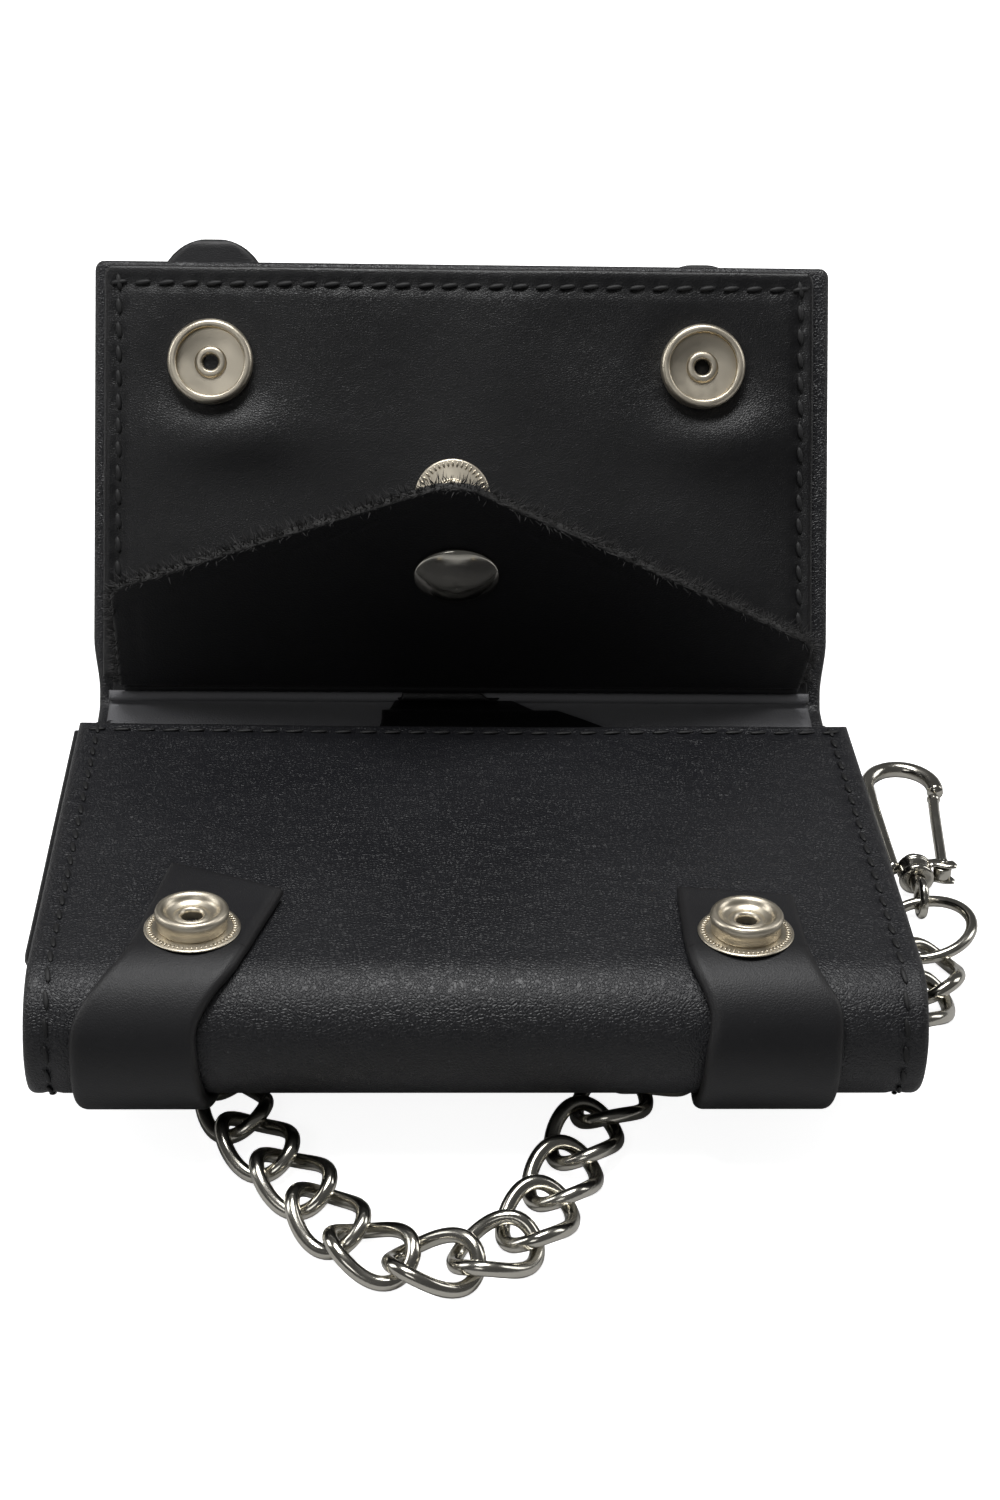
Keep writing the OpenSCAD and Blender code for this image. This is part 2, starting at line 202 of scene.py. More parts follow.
def lathe(name, body, material, profile, toPoint, centre, z0, segments=64, ripple=None):
    # profile is a closed loop of (radius, height); the axis is the local Z of toPoint at centre
    verts, faces = [], []
    n = len(profile)
    for k in range(segments):
        a = 2 * math.pi * k / segments
        for r, h in profile:
            rr = r + (ripple(r, h, a) if ripple else 0)
            verts.append(toPoint(centre[0] + rr * math.cos(a), centre[1] + rr * math.sin(a), z0 + h))
    for k in range(segments):
        k2 = (k + 1) % segments
        for i in range(n):
            i2 = (i + 1) % n
            faces.append((k * n + i, k2 * n + i, k2 * n + i2, k * n + i2))
    obj = fixNormals(makeObject(name, verts, faces, material))
    if body:
        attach(obj, body)
    return obj


def rounded(points, radius=0.15, steps=3):
    # rounds the corners of a closed loop of (radius, height) points
    out = []
    n = len(points)
    for i, p in enumerate(points):
        a, b, c = Vector(points[i - 1]), Vector(p), Vector(points[(i + 1) % n])
        u, v = (a - b), (c - b)
        r = min(radius, u.length * 0.45, v.length * 0.45)
        start, end = b + u.normalized() * r, b + v.normalized() * r
        for k in range(steps + 1):
            t = k / steps
            q = start * (1 - t) ** 2 + b * 2 * t * (1 - t) + end * t ** 2
            out.append((max(q.x, 0.0), q.y))
    return out


def wireMesh(name, body, material, points, radius, sides=16, closed=False, flat=1.0):
    # a round wire along points; radius may be a function of the share of the way along
    pts = [Vector(p) for p in points]
    n = len(pts)
    radiusAt = radius if callable(radius) else (lambda t: radius)
    verts, faces = [], []
    up = None
    for i, p in enumerate(pts):
        q = pts[(i + 1) % n] if closed or i < n - 1 else p
        o = pts[i - 1] if closed or i > 0 else p
        along = (q - o).normalized()
        if up is None:
            up = along.orthogonal().normalized() if abs(along.z) > 0.9 else Vector((0, 0, 1))
        up = (up - along * up.dot(along)).normalized()
        side = along.cross(up)
        r = radiusAt(i / max(1, n - 1))
        for k in range(sides):
            a = 2 * math.pi * k / sides
            verts.append(p + side * (r * math.cos(a)) + up * (r * flat * math.sin(a)))
    spans = n if closed else n - 1
    for i in range(spans):
        for k in range(sides):
            j, k2 = (i + 1) % n, (k + 1) % sides
            faces.append((i * sides + k, i * sides + k2, j * sides + k2, j * sides + k))
    if not closed:
        for i, p in ((0, pts[0]), (n - 1, pts[-1])):
            verts.append(p + (pts[i] - pts[1 if i == 0 else n - 2]).normalized() * radiusAt(i / (n - 1)) * 0.5)
            tip = len(verts) - 1
            for k in range(sides):
                faces.append((i * sides + k, i * sides + (k + 1) % sides, tip))
    obj = fixNormals(makeObject(name, verts, faces, material))
    if body:
        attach(obj, body)
    return obj


def smoothPath(points, steps=10, closed=False):
    # a Catmull-Rom curve through the points
    pts = [Vector(p) for p in points]
    n = len(pts)
    out = []
    for i in range(n if closed else n - 1):
        p0 = pts[(i - 1) % n] if closed or i > 0 else pts[0] * 2 - pts[1]
        p1, p2 = pts[i], pts[(i + 1) % n]
        p3 = pts[(i + 2) % n] if closed or i + 2 < n else pts[-1] * 2 - pts[-2]
        for k in range(steps):
            t = k / steps
            out.append(0.5 * ((2 * p1) + (p2 - p0) * t + (2 * p0 - 5 * p1 + 4 * p2 - p3) * t * t
                              + (3 * p1 - p0 - 3 * p2 + p3) * t ** 3))
    if not closed:
        out.append(pts[-1])
    return out


# ---- materials ----

def nodeMaker(tree):
    def make(kind, **settings):
        node = tree.nodes.new(kind)
        for key, value in settings.items():
            if key == "inputs":
                for name, v in value.items():
                    if hasattr(v, "is_linked") or hasattr(v, "links"):
                        tree.links.new(v, node.inputs[name])
                    else:
                        node.inputs[name].default_value = v
            else:
                setattr(node, key, value)
        return node
    return make


def mixColor(make, factor, a, b):
    return make("ShaderNodeMix", data_type="RGBA", inputs={0: factor, 6: a, 7: b}).outputs[2]


def grainGroup():
    # leather grain: pebbles with fine wrinkles, broad dents, and a mask for the worn high spots
    group = bpy.data.node_groups.new("leatherGrain", "ShaderNodeTree")
    for name, value in (("Pebble Size", 0.9), ("Pebble Depth", 1.0), ("Wrinkle Depth", 0.4),
                        ("Dent Depth", 0.5)):
        group.interface.new_socket(name, in_out="INPUT", socket_type="NodeSocketFloat").default_value = value
    for name in ("Height", "Worn", "GlintAndDustDots", "Patches"):
        group.interface.new_socket(name, in_out="OUTPUT", socket_type="NodeSocketFloat")
    make = nodeMaker(group)
    gin, gout = group.nodes.new("NodeGroupInput"), group.nodes.new("NodeGroupOutput")
    link = group.links.new
    coords = make("ShaderNodeTexCoord")
    warp = make("ShaderNodeTexNoise", inputs={"Vector": coords.outputs["Object"], "Scale": 420.0,
                                              "Detail": 2.0})
    offset = make("ShaderNodeVectorMath", operation="SCALE",
                  inputs={0: warp.outputs["Color"], "Scale": 0.0009})
    moved = make("ShaderNodeVectorMath", operation="ADD",
                 inputs={0: coords.outputs["Object"], 1: offset.outputs[0]})
    size = make("ShaderNodeMath", operation="DIVIDE", inputs={0: 1000.0, 1: gin.outputs["Pebble Size"]})
    pebble = make("ShaderNodeTexVoronoi", feature="DISTANCE_TO_EDGE", inputs={
        "Vector": moved.outputs[0], "Scale": size.outputs[0]})
    dome = make("ShaderNodeMapRange", interpolation_type="SMOOTHSTEP", inputs={
        "Value": pebble.outputs["Distance"], "From Min": 0.0, "From Max": 0.28})
    wrinkle = make("ShaderNodeTexNoise", inputs={
        "Vector": moved.outputs[0], "Scale": 2600.0, "Detail": 6.0, "Roughness": 0.65})
    dent = make("ShaderNodeTexNoise", inputs={"Vector": coords.outputs["Object"], "Scale": 46.0,
                                              "Detail": 3.0})
    a = make("ShaderNodeMath", operation="MULTIPLY",
             inputs={0: dome.outputs[0], 1: gin.outputs["Pebble Depth"]})
    b = make("ShaderNodeMath", operation="MULTIPLY_ADD", inputs={
        0: wrinkle.outputs["Fac"], 1: gin.outputs["Wrinkle Depth"], 2: a.outputs[0]})
    c = make("ShaderNodeMath", operation="MULTIPLY_ADD", inputs={
        0: dent.outputs["Fac"], 1: gin.outputs["Dent Depth"], 2: b.outputs[0]})
    link(c.outputs[0], gout.inputs["Height"])
    worn = make("ShaderNodeMapRange", inputs={"Value": dent.outputs["Fac"], "From Min": 0.45,
                                              "From Max": 0.75})
    link(worn.outputs[0], gout.inputs["Worn"])
    # light specks: partly dust, partly painted glints standing in for the sparkle of the grain
    glintAndDustCells = make("ShaderNodeTexVoronoi", inputs={"Vector": coords.outputs["Object"], "Scale": 520.0})
    glintAndDustDot = make("ShaderNodeMapRange", inputs={
        "Value": glintAndDustCells.outputs["Distance"], "From Min": 0.09, "From Max": 0.04})
    link(glintAndDustDot.outputs[0], gout.inputs["GlintAndDustDots"])
    patch = make("ShaderNodeTexNoise", inputs={"Vector": coords.outputs["Object"], "Scale": 28.0,
                                               "Detail": 4.0})
    link(patch.outputs["Fac"], gout.inputs["Patches"])
    return group


def newMaterial(name):
    material = bpy.data.materials.new(name)
    material.use_nodes = True
    tree = material.node_tree
    tree.nodes.clear()
    out = tree.nodes.new("ShaderNodeOutputMaterial")
    shader = tree.nodes.new("ShaderNodeBsdfPrincipled")
    tree.links.new(shader.outputs[0], out.inputs[0])
    return material, tree, shader


def leatherMaterial(name, look):
    material, tree, shader = newMaterial(name)
    make, link = nodeMaker(tree), tree.links.new
    grain = make("ShaderNodeGroup", node_tree=leatherGrain, inputs={
        "Pebble Size": look["pebble"], "Pebble Depth": look["pebbleDepth"],
        "Wrinkle Depth": look["wrinkle"], "Dent Depth": look["dent"]})
    tone = mixColor(make, grain.outputs["Patches"], (*look["dark"], 1), (*look["light"], 1))
    # the light specks mixed into the colour are dust and painted glints
    glintAndDustDot = make("ShaderNodeMath", operation="MULTIPLY",
                 inputs={0: grain.outputs["GlintAndDustDots"], 1: look["glintAndDustShare"]})
    glintAndDustTone = mixColor(make, glintAndDustDot.outputs[0], tone, (0.22, 0.22, 0.23, 1))
    edge = make("ShaderNodeAttribute", attribute_name="edge")
    raw = make("ShaderNodeMath", operation="MULTIPLY", inputs={0: edge.outputs["Fac"], 1: look["edgeLight"]})
    worn = mixColor(make, raw.outputs[0], glintAndDustTone, (*look["edge"], 1))
    link(worn, shader.inputs["Base Color"])
    rough = make("ShaderNodeMapRange", inputs={
        "Value": grain.outputs["Patches"], "From Min": 0.3, "From Max": 0.7,
        "To Min": look["rough"] - 0.05, "To Max": look["rough"] + 0.07})
    link(rough.outputs[0], shader.inputs["Roughness"])
    shader.inputs["Specular IOR Level"].default_value = look["specular"]
    bump = make("ShaderNodeBump", inputs={
        "Strength": look["bump"], "Distance": 0.00012, "Height": grain.outputs["Height"]})
    link(bump.outputs[0], shader.inputs["Normal"])
    return material


def metalMaterial(name, look):
    material, tree, shader = newMaterial(name)
    make, link = nodeMaker(tree), tree.links.new
    coords = make("ShaderNodeTexCoord")
    haze = make("ShaderNodeTexNoise", inputs={"Vector": coords.outputs["Object"], "Scale": 240.0,
                                              "Detail": 5.0})
    color = mixColor(make, haze.outputs["Fac"], (*look["dark"], 1), (*look["light"], 1))
    link(color, shader.inputs["Base Color"])
    rough = make("ShaderNodeMapRange", inputs={
        "Value": haze.outputs["Fac"], "From Min": 0.35, "From Max": 0.7,
        "To Min": look["rough"], "To Max": look["rough"] + look["haze"]})
    link(rough.outputs[0], shader.inputs["Roughness"])
    shader.inputs["Metallic"].default_value = 1.0
    scratch = make("ShaderNodeTexNoise", inputs={
        "Vector": coords.outputs["Object"], "Scale": 900.0, "Detail": 3.0})
    bump = make("ShaderNodeBump", inputs={
        "Strength": look["bump"], "Distance": 0.00003, "Height": scratch.outputs["Fac"]})
    link(bump.outputs[0], shader.inputs["Normal"])
    return material


def plainMaterial(name, color, roughness):
    material, tree, shader = newMaterial(name)
    make, link = nodeMaker(tree), tree.links.new
    coords = make("ShaderNodeTexCoord")
    fine = make("ShaderNodeTexNoise", inputs={"Vector": coords.outputs["Object"], "Scale": 3000.0,
                                              "Detail": 2.0})
    tone = mixColor(make, fine.outputs["Fac"], (*[c * 0.6 for c in color], 1), (*[c * 1.5 for c in color], 1))
    link(tone, shader.inputs["Base Color"])
    shader.inputs["Roughness"].default_value = roughness
    return material


leatherGrain = grainGroup()
shellLeather = leatherMaterial("pebbledLeather", {
    "dark": (0.0062, 0.0063, 0.008), "light": (0.0115, 0.0118, 0.0142), "edge": (0.022, 0.021, 0.021),
    "edgeLight": 0.5, "pebble": 0.45, "pebbleDepth": 0.7, "wrinkle": 0.7, "dent": 0.5, "glintAndDustShare": 0.2,
    "rough": 0.39, "specular": 0.5, "bump": 0.6})
smoothLeather = leatherMaterial("smoothLeather", {
    "dark": (0.003, 0.003, 0.0036), "light": (0.006, 0.006, 0.0068), "edge": (0.018, 0.017, 0.017),
    "edgeLight": 0.5, "pebble": 0.36, "pebbleDepth": 0.3, "wrinkle": 0.5, "dent": 1.6, "glintAndDustShare": 0.05,
    "rough": 0.37, "specular": 0.45, "bump": 0.5})
strapLeather = leatherMaterial("strapLeather", {
    "dark": (0.0045, 0.0045, 0.0058), "light": (0.008, 0.008, 0.0096), "edge": (0.02, 0.019, 0.019),
    "edgeLight": 0.6, "pebble": 0.34, "pebbleDepth": 0.3, "wrinkle": 0.6, "dent": 0.6, "glintAndDustShare": 0.05,
    "rough": 0.47, "specular": 0.45, "bump": 0.35})
coinLeather = leatherMaterial("coinLeather", {
    "dark": (0.007, 0.007, 0.008), "light": (0.013, 0.013, 0.0145), "edge": (0.05, 0.049, 0.048),
    "edgeLight": 0.8, "pebble": 0.5, "pebbleDepth": 0.3, "wrinkle": 0.9, "dent": 0.5, "glintAndDustShare": 0.03,
    "rough": 0.62, "specular": 0.3, "bump": 0.6})
# pale grey lining; part of its lightness is painted light, standing in for the light the upward-facing strip at
# the spine catches
liningGreyAndPaintedLight = leatherMaterial("greyLiningWithPaintedLight", {
    "dark": (0.17, 0.17, 0.18), "light": (0.26, 0.26, 0.272), "edge": (0.03, 0.03, 0.03),
    "edgeLight": 0.6, "pebble": 0.45, "pebbleDepth": 0.3, "wrinkle": 0.8, "dent": 0.4, "glintAndDustShare": 0.0,
    "rough": 0.55, "specular": 0.4, "bump": 0.4})
fuzz = plainMaterial("rawFibre", (0.035, 0.034, 0.034), 0.85)
thread = plainMaterial("blackThread", (0.004, 0.004, 0.0045), 0.6)
shadow = plainMaterial("darkHole", (0.004, 0.0035, 0.003), 0.8)
nickel = metalMaterial("nickelPlate", {
    "dark": (0.48, 0.46, 0.405), "light": (0.66, 0.635, 0.57), "rough": 0.13, "haze": 0.12, "bump": 0.2})
satinNickel = metalMaterial("satinNickel", {
    "dark": (0.56, 0.5, 0.4), "light": (0.74, 0.68, 0.56), "rough": 0.36, "haze": 0.12, "bump": 0.3})
brass = metalMaterial("brassWire", {
    "dark": (0.55, 0.42, 0.2), "light": (0.7, 0.56, 0.3), "rough": 0.2, "haze": 0.1, "bump": 0.1})
print("materials made")


# ---- geometry node trees ----

def newTree(name, sockets):
    tree = bpy.data.node_groups.new(name, "GeometryNodeTree")
    tree.interface.new_socket("Geometry", in_out="INPUT", socket_type="NodeSocketGeometry")
    tree.interface.new_socket("Geometry", in_out="OUTPUT", socket_type="NodeSocketGeometry")
    for label, kind, value in sockets:
        socket = tree.interface.new_socket(label, in_out="INPUT", socket_type=kind)
        if value is not None:
            socket.default_value = value
    return tree, tree.nodes.new("NodeGroupInput"), tree.nodes.new("NodeGroupOutput")


def stitchTree():
    # one thread stitch at every pitch along each line, laid along it and flat on the surface
    tree, gin, gout = newTree("stitchRow", (
        ("Pitch", "NodeSocketFloat", 0.0034), ("Stitch Length", "NodeSocketFloat", 0.0024),
        ("Thread Width", "NodeSocketFloat", 0.0007), ("Thread Height", "NodeSocketFloat", 0.0005),
        ("Slant", "NodeSocketFloat", 0.12), ("Material", "NodeSocketMaterial", None)))
    make, link = nodeMaker(tree), tree.links.new
    curve = make("GeometryNodeMeshToCurve", inputs={"Mesh": gin.outputs["Geometry"]})
    even = make("GeometryNodeResampleCurve", mode="LENGTH", inputs={
        "Curve": curve.outputs[0], "Length": gin.outputs["Pitch"]})
    bead = make("GeometryNodeMeshUVSphere", inputs={"Segments": 8, "Rings": 6, "Radius": 0.5})
    size = make("ShaderNodeCombineXYZ", inputs={
        "X": gin.outputs["Stitch Length"], "Y": gin.outputs["Thread Width"],
        "Z": gin.outputs["Thread Height"]})
    scaled = make("GeometryNodeTransform",
                  inputs={"Geometry": bead.outputs["Mesh"], "Scale": size.outputs[0]})
    smooth = make("GeometryNodeSetShadeSmooth", inputs={"Geometry": scaled.outputs[0]})
    slant = make("ShaderNodeCombineXYZ", inputs={"Z": gin.outputs["Slant"]})
    leaning = make("GeometryNodeTransform",
                   inputs={"Geometry": smooth.outputs[0], "Rotation": slant.outputs[0]})
    tangent = make("GeometryNodeInputTangent")
    up = make("GeometryNodeInputNamedAttribute", data_type="FLOAT_VECTOR", inputs={"Name": "up"})
    along = make("FunctionNodeAlignRotationToVector", axis="X", inputs={"Vector": tangent.outputs[0]})
    flat = make("FunctionNodeAlignRotationToVector", axis="Z", pivot_axis="X", inputs={
        "Rotation": along.outputs[0], "Vector": up.outputs["Attribute"]})
    rows = make("GeometryNodeInstanceOnPoints", inputs={
        "Points": even.outputs[0], "Instance": leaning.outputs[0], "Rotation": flat.outputs[0]})
    real = make("GeometryNodeRealizeInstances", inputs={"Geometry": rows.outputs[0]})
    painted = make("GeometryNodeSetMaterial", inputs={
        "Geometry": real.outputs[0], "Material": gin.outputs["Material"]})
    link(painted.outputs[0], gout.inputs[0])
    return tree


def chainTree():
    # one twisted curb link on every point, turned to the point's heading
    tree, gin, gout = newTree("curbLinks", (
        ("Half Length", "NodeSocketFloat", 0.0053), ("Half Width", "NodeSocketFloat", 0.004),
        ("Twist", "NodeSocketFloat", 0.0013), ("Wire Radius", "NodeSocketFloat", 0.00095),
        ("Material", "NodeSocketMaterial", None)))
    make, link = nodeMaker(tree), tree.links.new
    circle = make("GeometryNodeCurvePrimitiveCircle", inputs={"Resolution": 56, "Radius": 1.0})
    position = make("GeometryNodeInputPosition")
    parts = make("ShaderNodeSeparateXYZ", inputs={"Vector": position.outputs[0]})
    x = make("ShaderNodeMath", operation="MULTIPLY",
             inputs={0: parts.outputs[0], 1: gin.outputs["Half Length"]})
    y = make("ShaderNodeMath", operation="MULTIPLY",
             inputs={0: parts.outputs[1], 1: gin.outputs["Half Width"]})
    xy = make("ShaderNodeMath", operation="MULTIPLY", inputs={0: parts.outputs[0], 1: parts.outputs[1]})
    twist = make("ShaderNodeMath", operation="MULTIPLY", inputs={0: gin.outputs["Twist"], 1: 2.0})
    z = make("ShaderNodeMath", operation="MULTIPLY", inputs={0: xy.outputs[0], 1: twist.outputs[0]})
    place = make("ShaderNodeCombineXYZ", inputs={"X": x.outputs[0], "Y": y.outputs[0], "Z": z.outputs[0]})
    oval = make("GeometryNodeSetPosition",
                inputs={"Geometry": circle.outputs[0], "Position": place.outputs[0]})
    profile = make("GeometryNodeCurvePrimitiveCircle", inputs={
        "Resolution": 16, "Radius": gin.outputs["Wire Radius"]})
    tube = make("GeometryNodeCurveToMesh",
                inputs={"Curve": oval.outputs[0], "Profile Curve": profile.outputs[0]})
    smooth = make("GeometryNodeSetShadeSmooth", inputs={"Geometry": tube.outputs[0]})
    heading = make("GeometryNodeInputNamedAttribute", data_type="FLOAT", inputs={"Name": "heading"})
    turn = make("ShaderNodeCombineXYZ", inputs={"Z": heading.outputs["Attribute"]})
    rotation = make("FunctionNodeEulerToRotation", inputs={"Euler": turn.outputs[0]})
    links = make("GeometryNodeInstanceOnPoints", inputs={
        "Points": gin.outputs["Geometry"], "Instance": smooth.outputs[0], "Rotation": rotation.outputs[0]})
    real = make("GeometryNodeRealizeInstances", inputs={"Geometry": links.outputs[0]})
    painted = make("GeometryNodeSetMaterial", inputs={
        "Geometry": real.outputs[0], "Material": gin.outputs["Material"]})
    link(painted.outputs[0], gout.inputs[0])
    return tree


def rimTree():
    # a ring of small raised ridges round a snap's flange
    tree, gin, gout = newTree("ridgedRim", (
        ("Count", "NodeSocketInt", 44), ("Ring Radius", "NodeSocketFloat", 0.005),
        ("Ridge Length", "NodeSocketFloat", 0.0011), ("Ridge Width", "NodeSocketFloat", 0.0004),
        ("Ridge Height", "NodeSocketFloat", 0.0003), ("Material", "NodeSocketMaterial", None)))
    make, link = nodeMaker(tree), tree.links.new
    circle = make("GeometryNodeMeshCircle", inputs={
        "Vertices": gin.outputs["Count"], "Radius": gin.outputs["Ring Radius"]})
    bead = make("GeometryNodeMeshUVSphere", inputs={"Segments": 8, "Rings": 5, "Radius": 0.5})
    size = make("ShaderNodeCombineXYZ", inputs={
        "X": gin.outputs["Ridge Length"], "Y": gin.outputs["Ridge Width"], "Z": gin.outputs["Ridge Height"]})
    scaled = make("GeometryNodeTransform",
                  inputs={"Geometry": bead.outputs["Mesh"], "Scale": size.outputs[0]})
    smooth = make("GeometryNodeSetShadeSmooth", inputs={"Geometry": scaled.outputs[0]})
    position = make("GeometryNodeInputPosition")
    outward = make("FunctionNodeAlignRotationToVector", axis="X", inputs={"Vector": position.outputs[0]})
    ridges = make("GeometryNodeInstanceOnPoints", inputs={
        "Points": circle.outputs[0], "Instance": smooth.outputs[0], "Rotation": outward.outputs[0]})
    real = make("GeometryNodeRealizeInstances", inputs={"Geometry": ridges.outputs[0]})
    painted = make("GeometryNodeSetMaterial", inputs={
        "Geometry": real.outputs[0], "Material": gin.outputs["Material"]})
    link(painted.outputs[0], gout.inputs[0])
    return tree


def fibreTree():
    # short raw leather fibres that stand out of a cut edge
    tree, gin, gout = newTree("edgeFibres", (
        ("Spacing", "NodeSocketFloat", 0.0002), ("Fibre Length", "NodeSocketFloat", 0.0011),
        ("Fibre Width", "NodeSocketFloat", 0.00012), ("Seed", "NodeSocketInt", 3),
        ("Material", "NodeSocketMaterial", None)))
    make, link = nodeMaker(tree), tree.links.new
    curve = make("GeometryNodeMeshToCurve", inputs={"Mesh": gin.outputs["Geometry"]})
    even = make("GeometryNodeResampleCurve", mode="LENGTH", inputs={
        "Curve": curve.outputs[0], "Length": gin.outputs["Spacing"]})
    jitter = make("FunctionNodeRandomValue", data_type="FLOAT_VECTOR", inputs={
        0: (-0.0005, -0.0005, -0.0005), 1: (0.0005, 0.0005, 0.0005), "Seed": gin.outputs["Seed"]})
    spread = make("GeometryNodeSetPosition",
                  inputs={"Geometry": even.outputs[0], "Offset": jitter.outputs[0]})
    cone = make("GeometryNodeMeshCone", inputs={
        "Vertices": 3, "Side Segments": 1, "Radius Top": 0.0, "Radius Bottom": 0.5, "Depth": 1.0})
    size = make("ShaderNodeCombineXYZ", inputs={
        "X": gin.outputs["Fibre Width"], "Y": gin.outputs["Fibre Width"], "Z": gin.outputs["Fibre Length"]})
    scaled = make("GeometryNodeTransform",
                  inputs={"Geometry": cone.outputs["Mesh"], "Scale": size.outputs[0]})
    outward = make("GeometryNodeInputNamedAttribute", data_type="FLOAT_VECTOR", inputs={"Name": "up"})
    lean = make("FunctionNodeRandomValue", data_type="FLOAT_VECTOR", inputs={
        0: (-0.9, -0.9, -0.9), 1: (0.9, 0.9, 0.9), "Seed": gin.outputs["Seed"]})
    aim = make("ShaderNodeVectorMath", operation="ADD",
               inputs={0: outward.outputs["Attribute"], 1: lean.outputs[0]})
    rotation = make("FunctionNodeAlignRotationToVector", axis="Z", inputs={"Vector": aim.outputs[0]})
    longer = make("FunctionNodeRandomValue", data_type="FLOAT",
                  inputs={2: 0.4, 3: 1.4, "Seed": gin.outputs["Seed"]})
    fibres = make("GeometryNodeInstanceOnPoints", inputs={
        "Points": spread.outputs[0], "Instance": scaled.outputs[0], "Rotation": rotation.outputs[0],
        "Scale": longer.outputs[1]})
    real = make("GeometryNodeRealizeInstances", inputs={"Geometry": fibres.outputs[0]})
    painted = make("GeometryNodeSetMaterial", inputs={
        "Geometry": real.outputs[0], "Material": gin.outputs["Material"]})
    link(painted.outputs[0], gout.inputs[0])
    return tree


def grow(name, carrier, tree, values, place=None):
    # runs a tree on the carrier object and keeps the result as a plain mesh
    modifier = carrier.modifiers.new(name, "NODES")
    modifier.node_group = tree
    for item in tree.interface.items_tree:
        if item.item_type == "SOCKET" and item.in_out == "INPUT" and item.name in values:
            modifier[item.identifier] = values[item.name]
    carrier.update_tag()
    bpy.context.view_layer.update()
    evaluated = carrier.evaluated_get(bpy.context.evaluated_depsgraph_get())
    mesh = bpy.data.meshes.new_from_object(evaluated)
    mesh.name = name
    carrier.modifiers.clear()
    bpy.data.objects.remove(carrier)
    if place:
        mesh.transform(place)
    obj = bpy.data.objects.new(name, mesh)
    bpy.context.scene.collection.objects.link(obj)
    return obj


def lineCarrier(name, lines, ups):
    # lines of points as edges, each point with its up direction
    verts, edges, flat = [], [], []
    for line, up in zip(lines, ups):
        first = len(verts)
        verts += [toFrame(p) for p in line]
        edges += [(first + i, first + i + 1) for i in range(len(line) - 1)]
        for u in up:
            flat += list(u)
    mesh = bpy.data.meshes.new(name)
    mesh.from_pydata(verts, edges, [])
    mesh.attributes.new("up", "FLOAT_VECTOR", "POINT").data.foreach_set("vector", flat)
    obj = bpy.data.objects.new(name, mesh)
    bpy.context.scene.collection.objects.link(obj)
    return obj


stitches, links, rims, fibres = stitchTree(), chainTree(), rimTree(), fibreTree()


def localLine(toPoint, points, z, step=1.0):
    # a line over a surface through local points, with the surface's own up direction at each place
    line, ups = [], []
    for (x0, y0), (x1, y1) in zip(points, points[1:]):
        n = max(1, round(math.hypot(x1 - x0, y1 - y0) / step))
        for i in range(n + (1 if (x1, y1) == points[-1] else 0)):
            t = i / n
            x, y = x0 + (x1 - x0) * t, y0 + (y1 - y0) * t
            line.append(toPoint(x, y, z))
            ups.append((toPoint(x, y, z + 1) - toPoint(x, y, z)).normalized())
    return line, ups


def stitchRow(name, body, rows, look=None):
    lines, ups = zip(*rows)
    carrier = lineCarrier(name + "Line", lines, ups)
    values = {"Pitch": 0.0034, "Stitch Length": 0.0026, "Thread Width": 0.00072, "Thread Height": 0.00046,
              "Slant": 0.14, "Material": thread}
    values.update(look or {})
    obj = grow(name, carrier, stitches, values)
    if body:
        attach(obj, body)
    return obj


def seamPress(seams, depth=0.22, width=0.75, pitch=3.4):
    # how far the thread pulls the leather down along each seam, a little more at each hole
    def press(x, y):
        total = 0.0
        for x0, y0, x1, y1 in seams:
            dx, dy = x1 - x0, y1 - y0
            length = math.hypot(dx, dy)
            t = max(0, min(1, ((x - x0) * dx + (y - y0) * dy) / length ** 2))
            d = math.hypot(x - x0 - dx * t, y - y0 - dy * t)
            if d < 3 * width:
                wave = 1 + 0.45 * math.cos(2 * math.pi * (t * length / pitch + 0.5))
                total = max(total, depth * wave * math.exp(-(d / width) ** 2))
        return -total
    return press


def unevenness(amount, size, seed):
    def bend(x, y):
        return amount * noise.noise(Vector((x / size, y / size, seed)))
    return bend


def blendAcross(obj):
    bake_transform(obj)
    return obj


def smoothStep(t):
    t = max(0, min(1, t))
    return t * t * (3 - 2 * t)


print("helpers ready")

# ---- outer leather: front panel, front bend and middle panel in one hide ----


def overBend(obj):
    return blendAcross(obj)


wrap = {"inset": 2.8, "under": 64.0, "rearEdge": 2.6, "sag": 0.35}
wrapFoot = -(wrapArc + wrap["under"])
wrapSeams = [(side * (half - wrap["inset"]), wrapFoot + 1, side * (half - wrap["inset"]),
              wallet["frontLength"] - wrap["rearEdge"]) for side in (-1, 1)]
wrapSeams.append((-half + wrap["inset"], wallet["frontLength"] - wrap["rearEdge"],
                  half - wrap["inset"], wallet["frontLength"] - wrap["rearEdge"]))
wrapWave = unevenness(0.35, 22, 3.1)


def wrapBend(x, s):
    # soft unevenness on the front panel and a shallow dip along the middle of its rear edge
    fade = smoothStep((s + 2) / 12)
    dip = wrap["sag"] * smoothStep((s - 20) / 45) * (1 - (x / half) ** 2)
    return fade * wrapWave(x, s) * 0.6 - dip


outerWrap = leatherSheet("outerLeather", None, shellLeather, wrapPoint, -half, half, wrapFoot,
                         wallet["frontLength"], wallet["cover"], step=0.9,
                         press=seamPress(wrapSeams), bend=wrapBend, openEnds=(True, False))
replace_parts(overBend(outerWrap), "back_cover", "front_fold", "front_cover")


def seamRows(toPoint, seams, z, bend=None):
    rows = []
    for x0, y0, x1, y1 in seams:
        def lifted(x, y, h, bend=bend):
            return toPoint(x, y, h + (bend(x, y) if bend else 0))
        rows.append(localLine(lifted, [(x0, y0), (x1, y1)], z))
    return rows


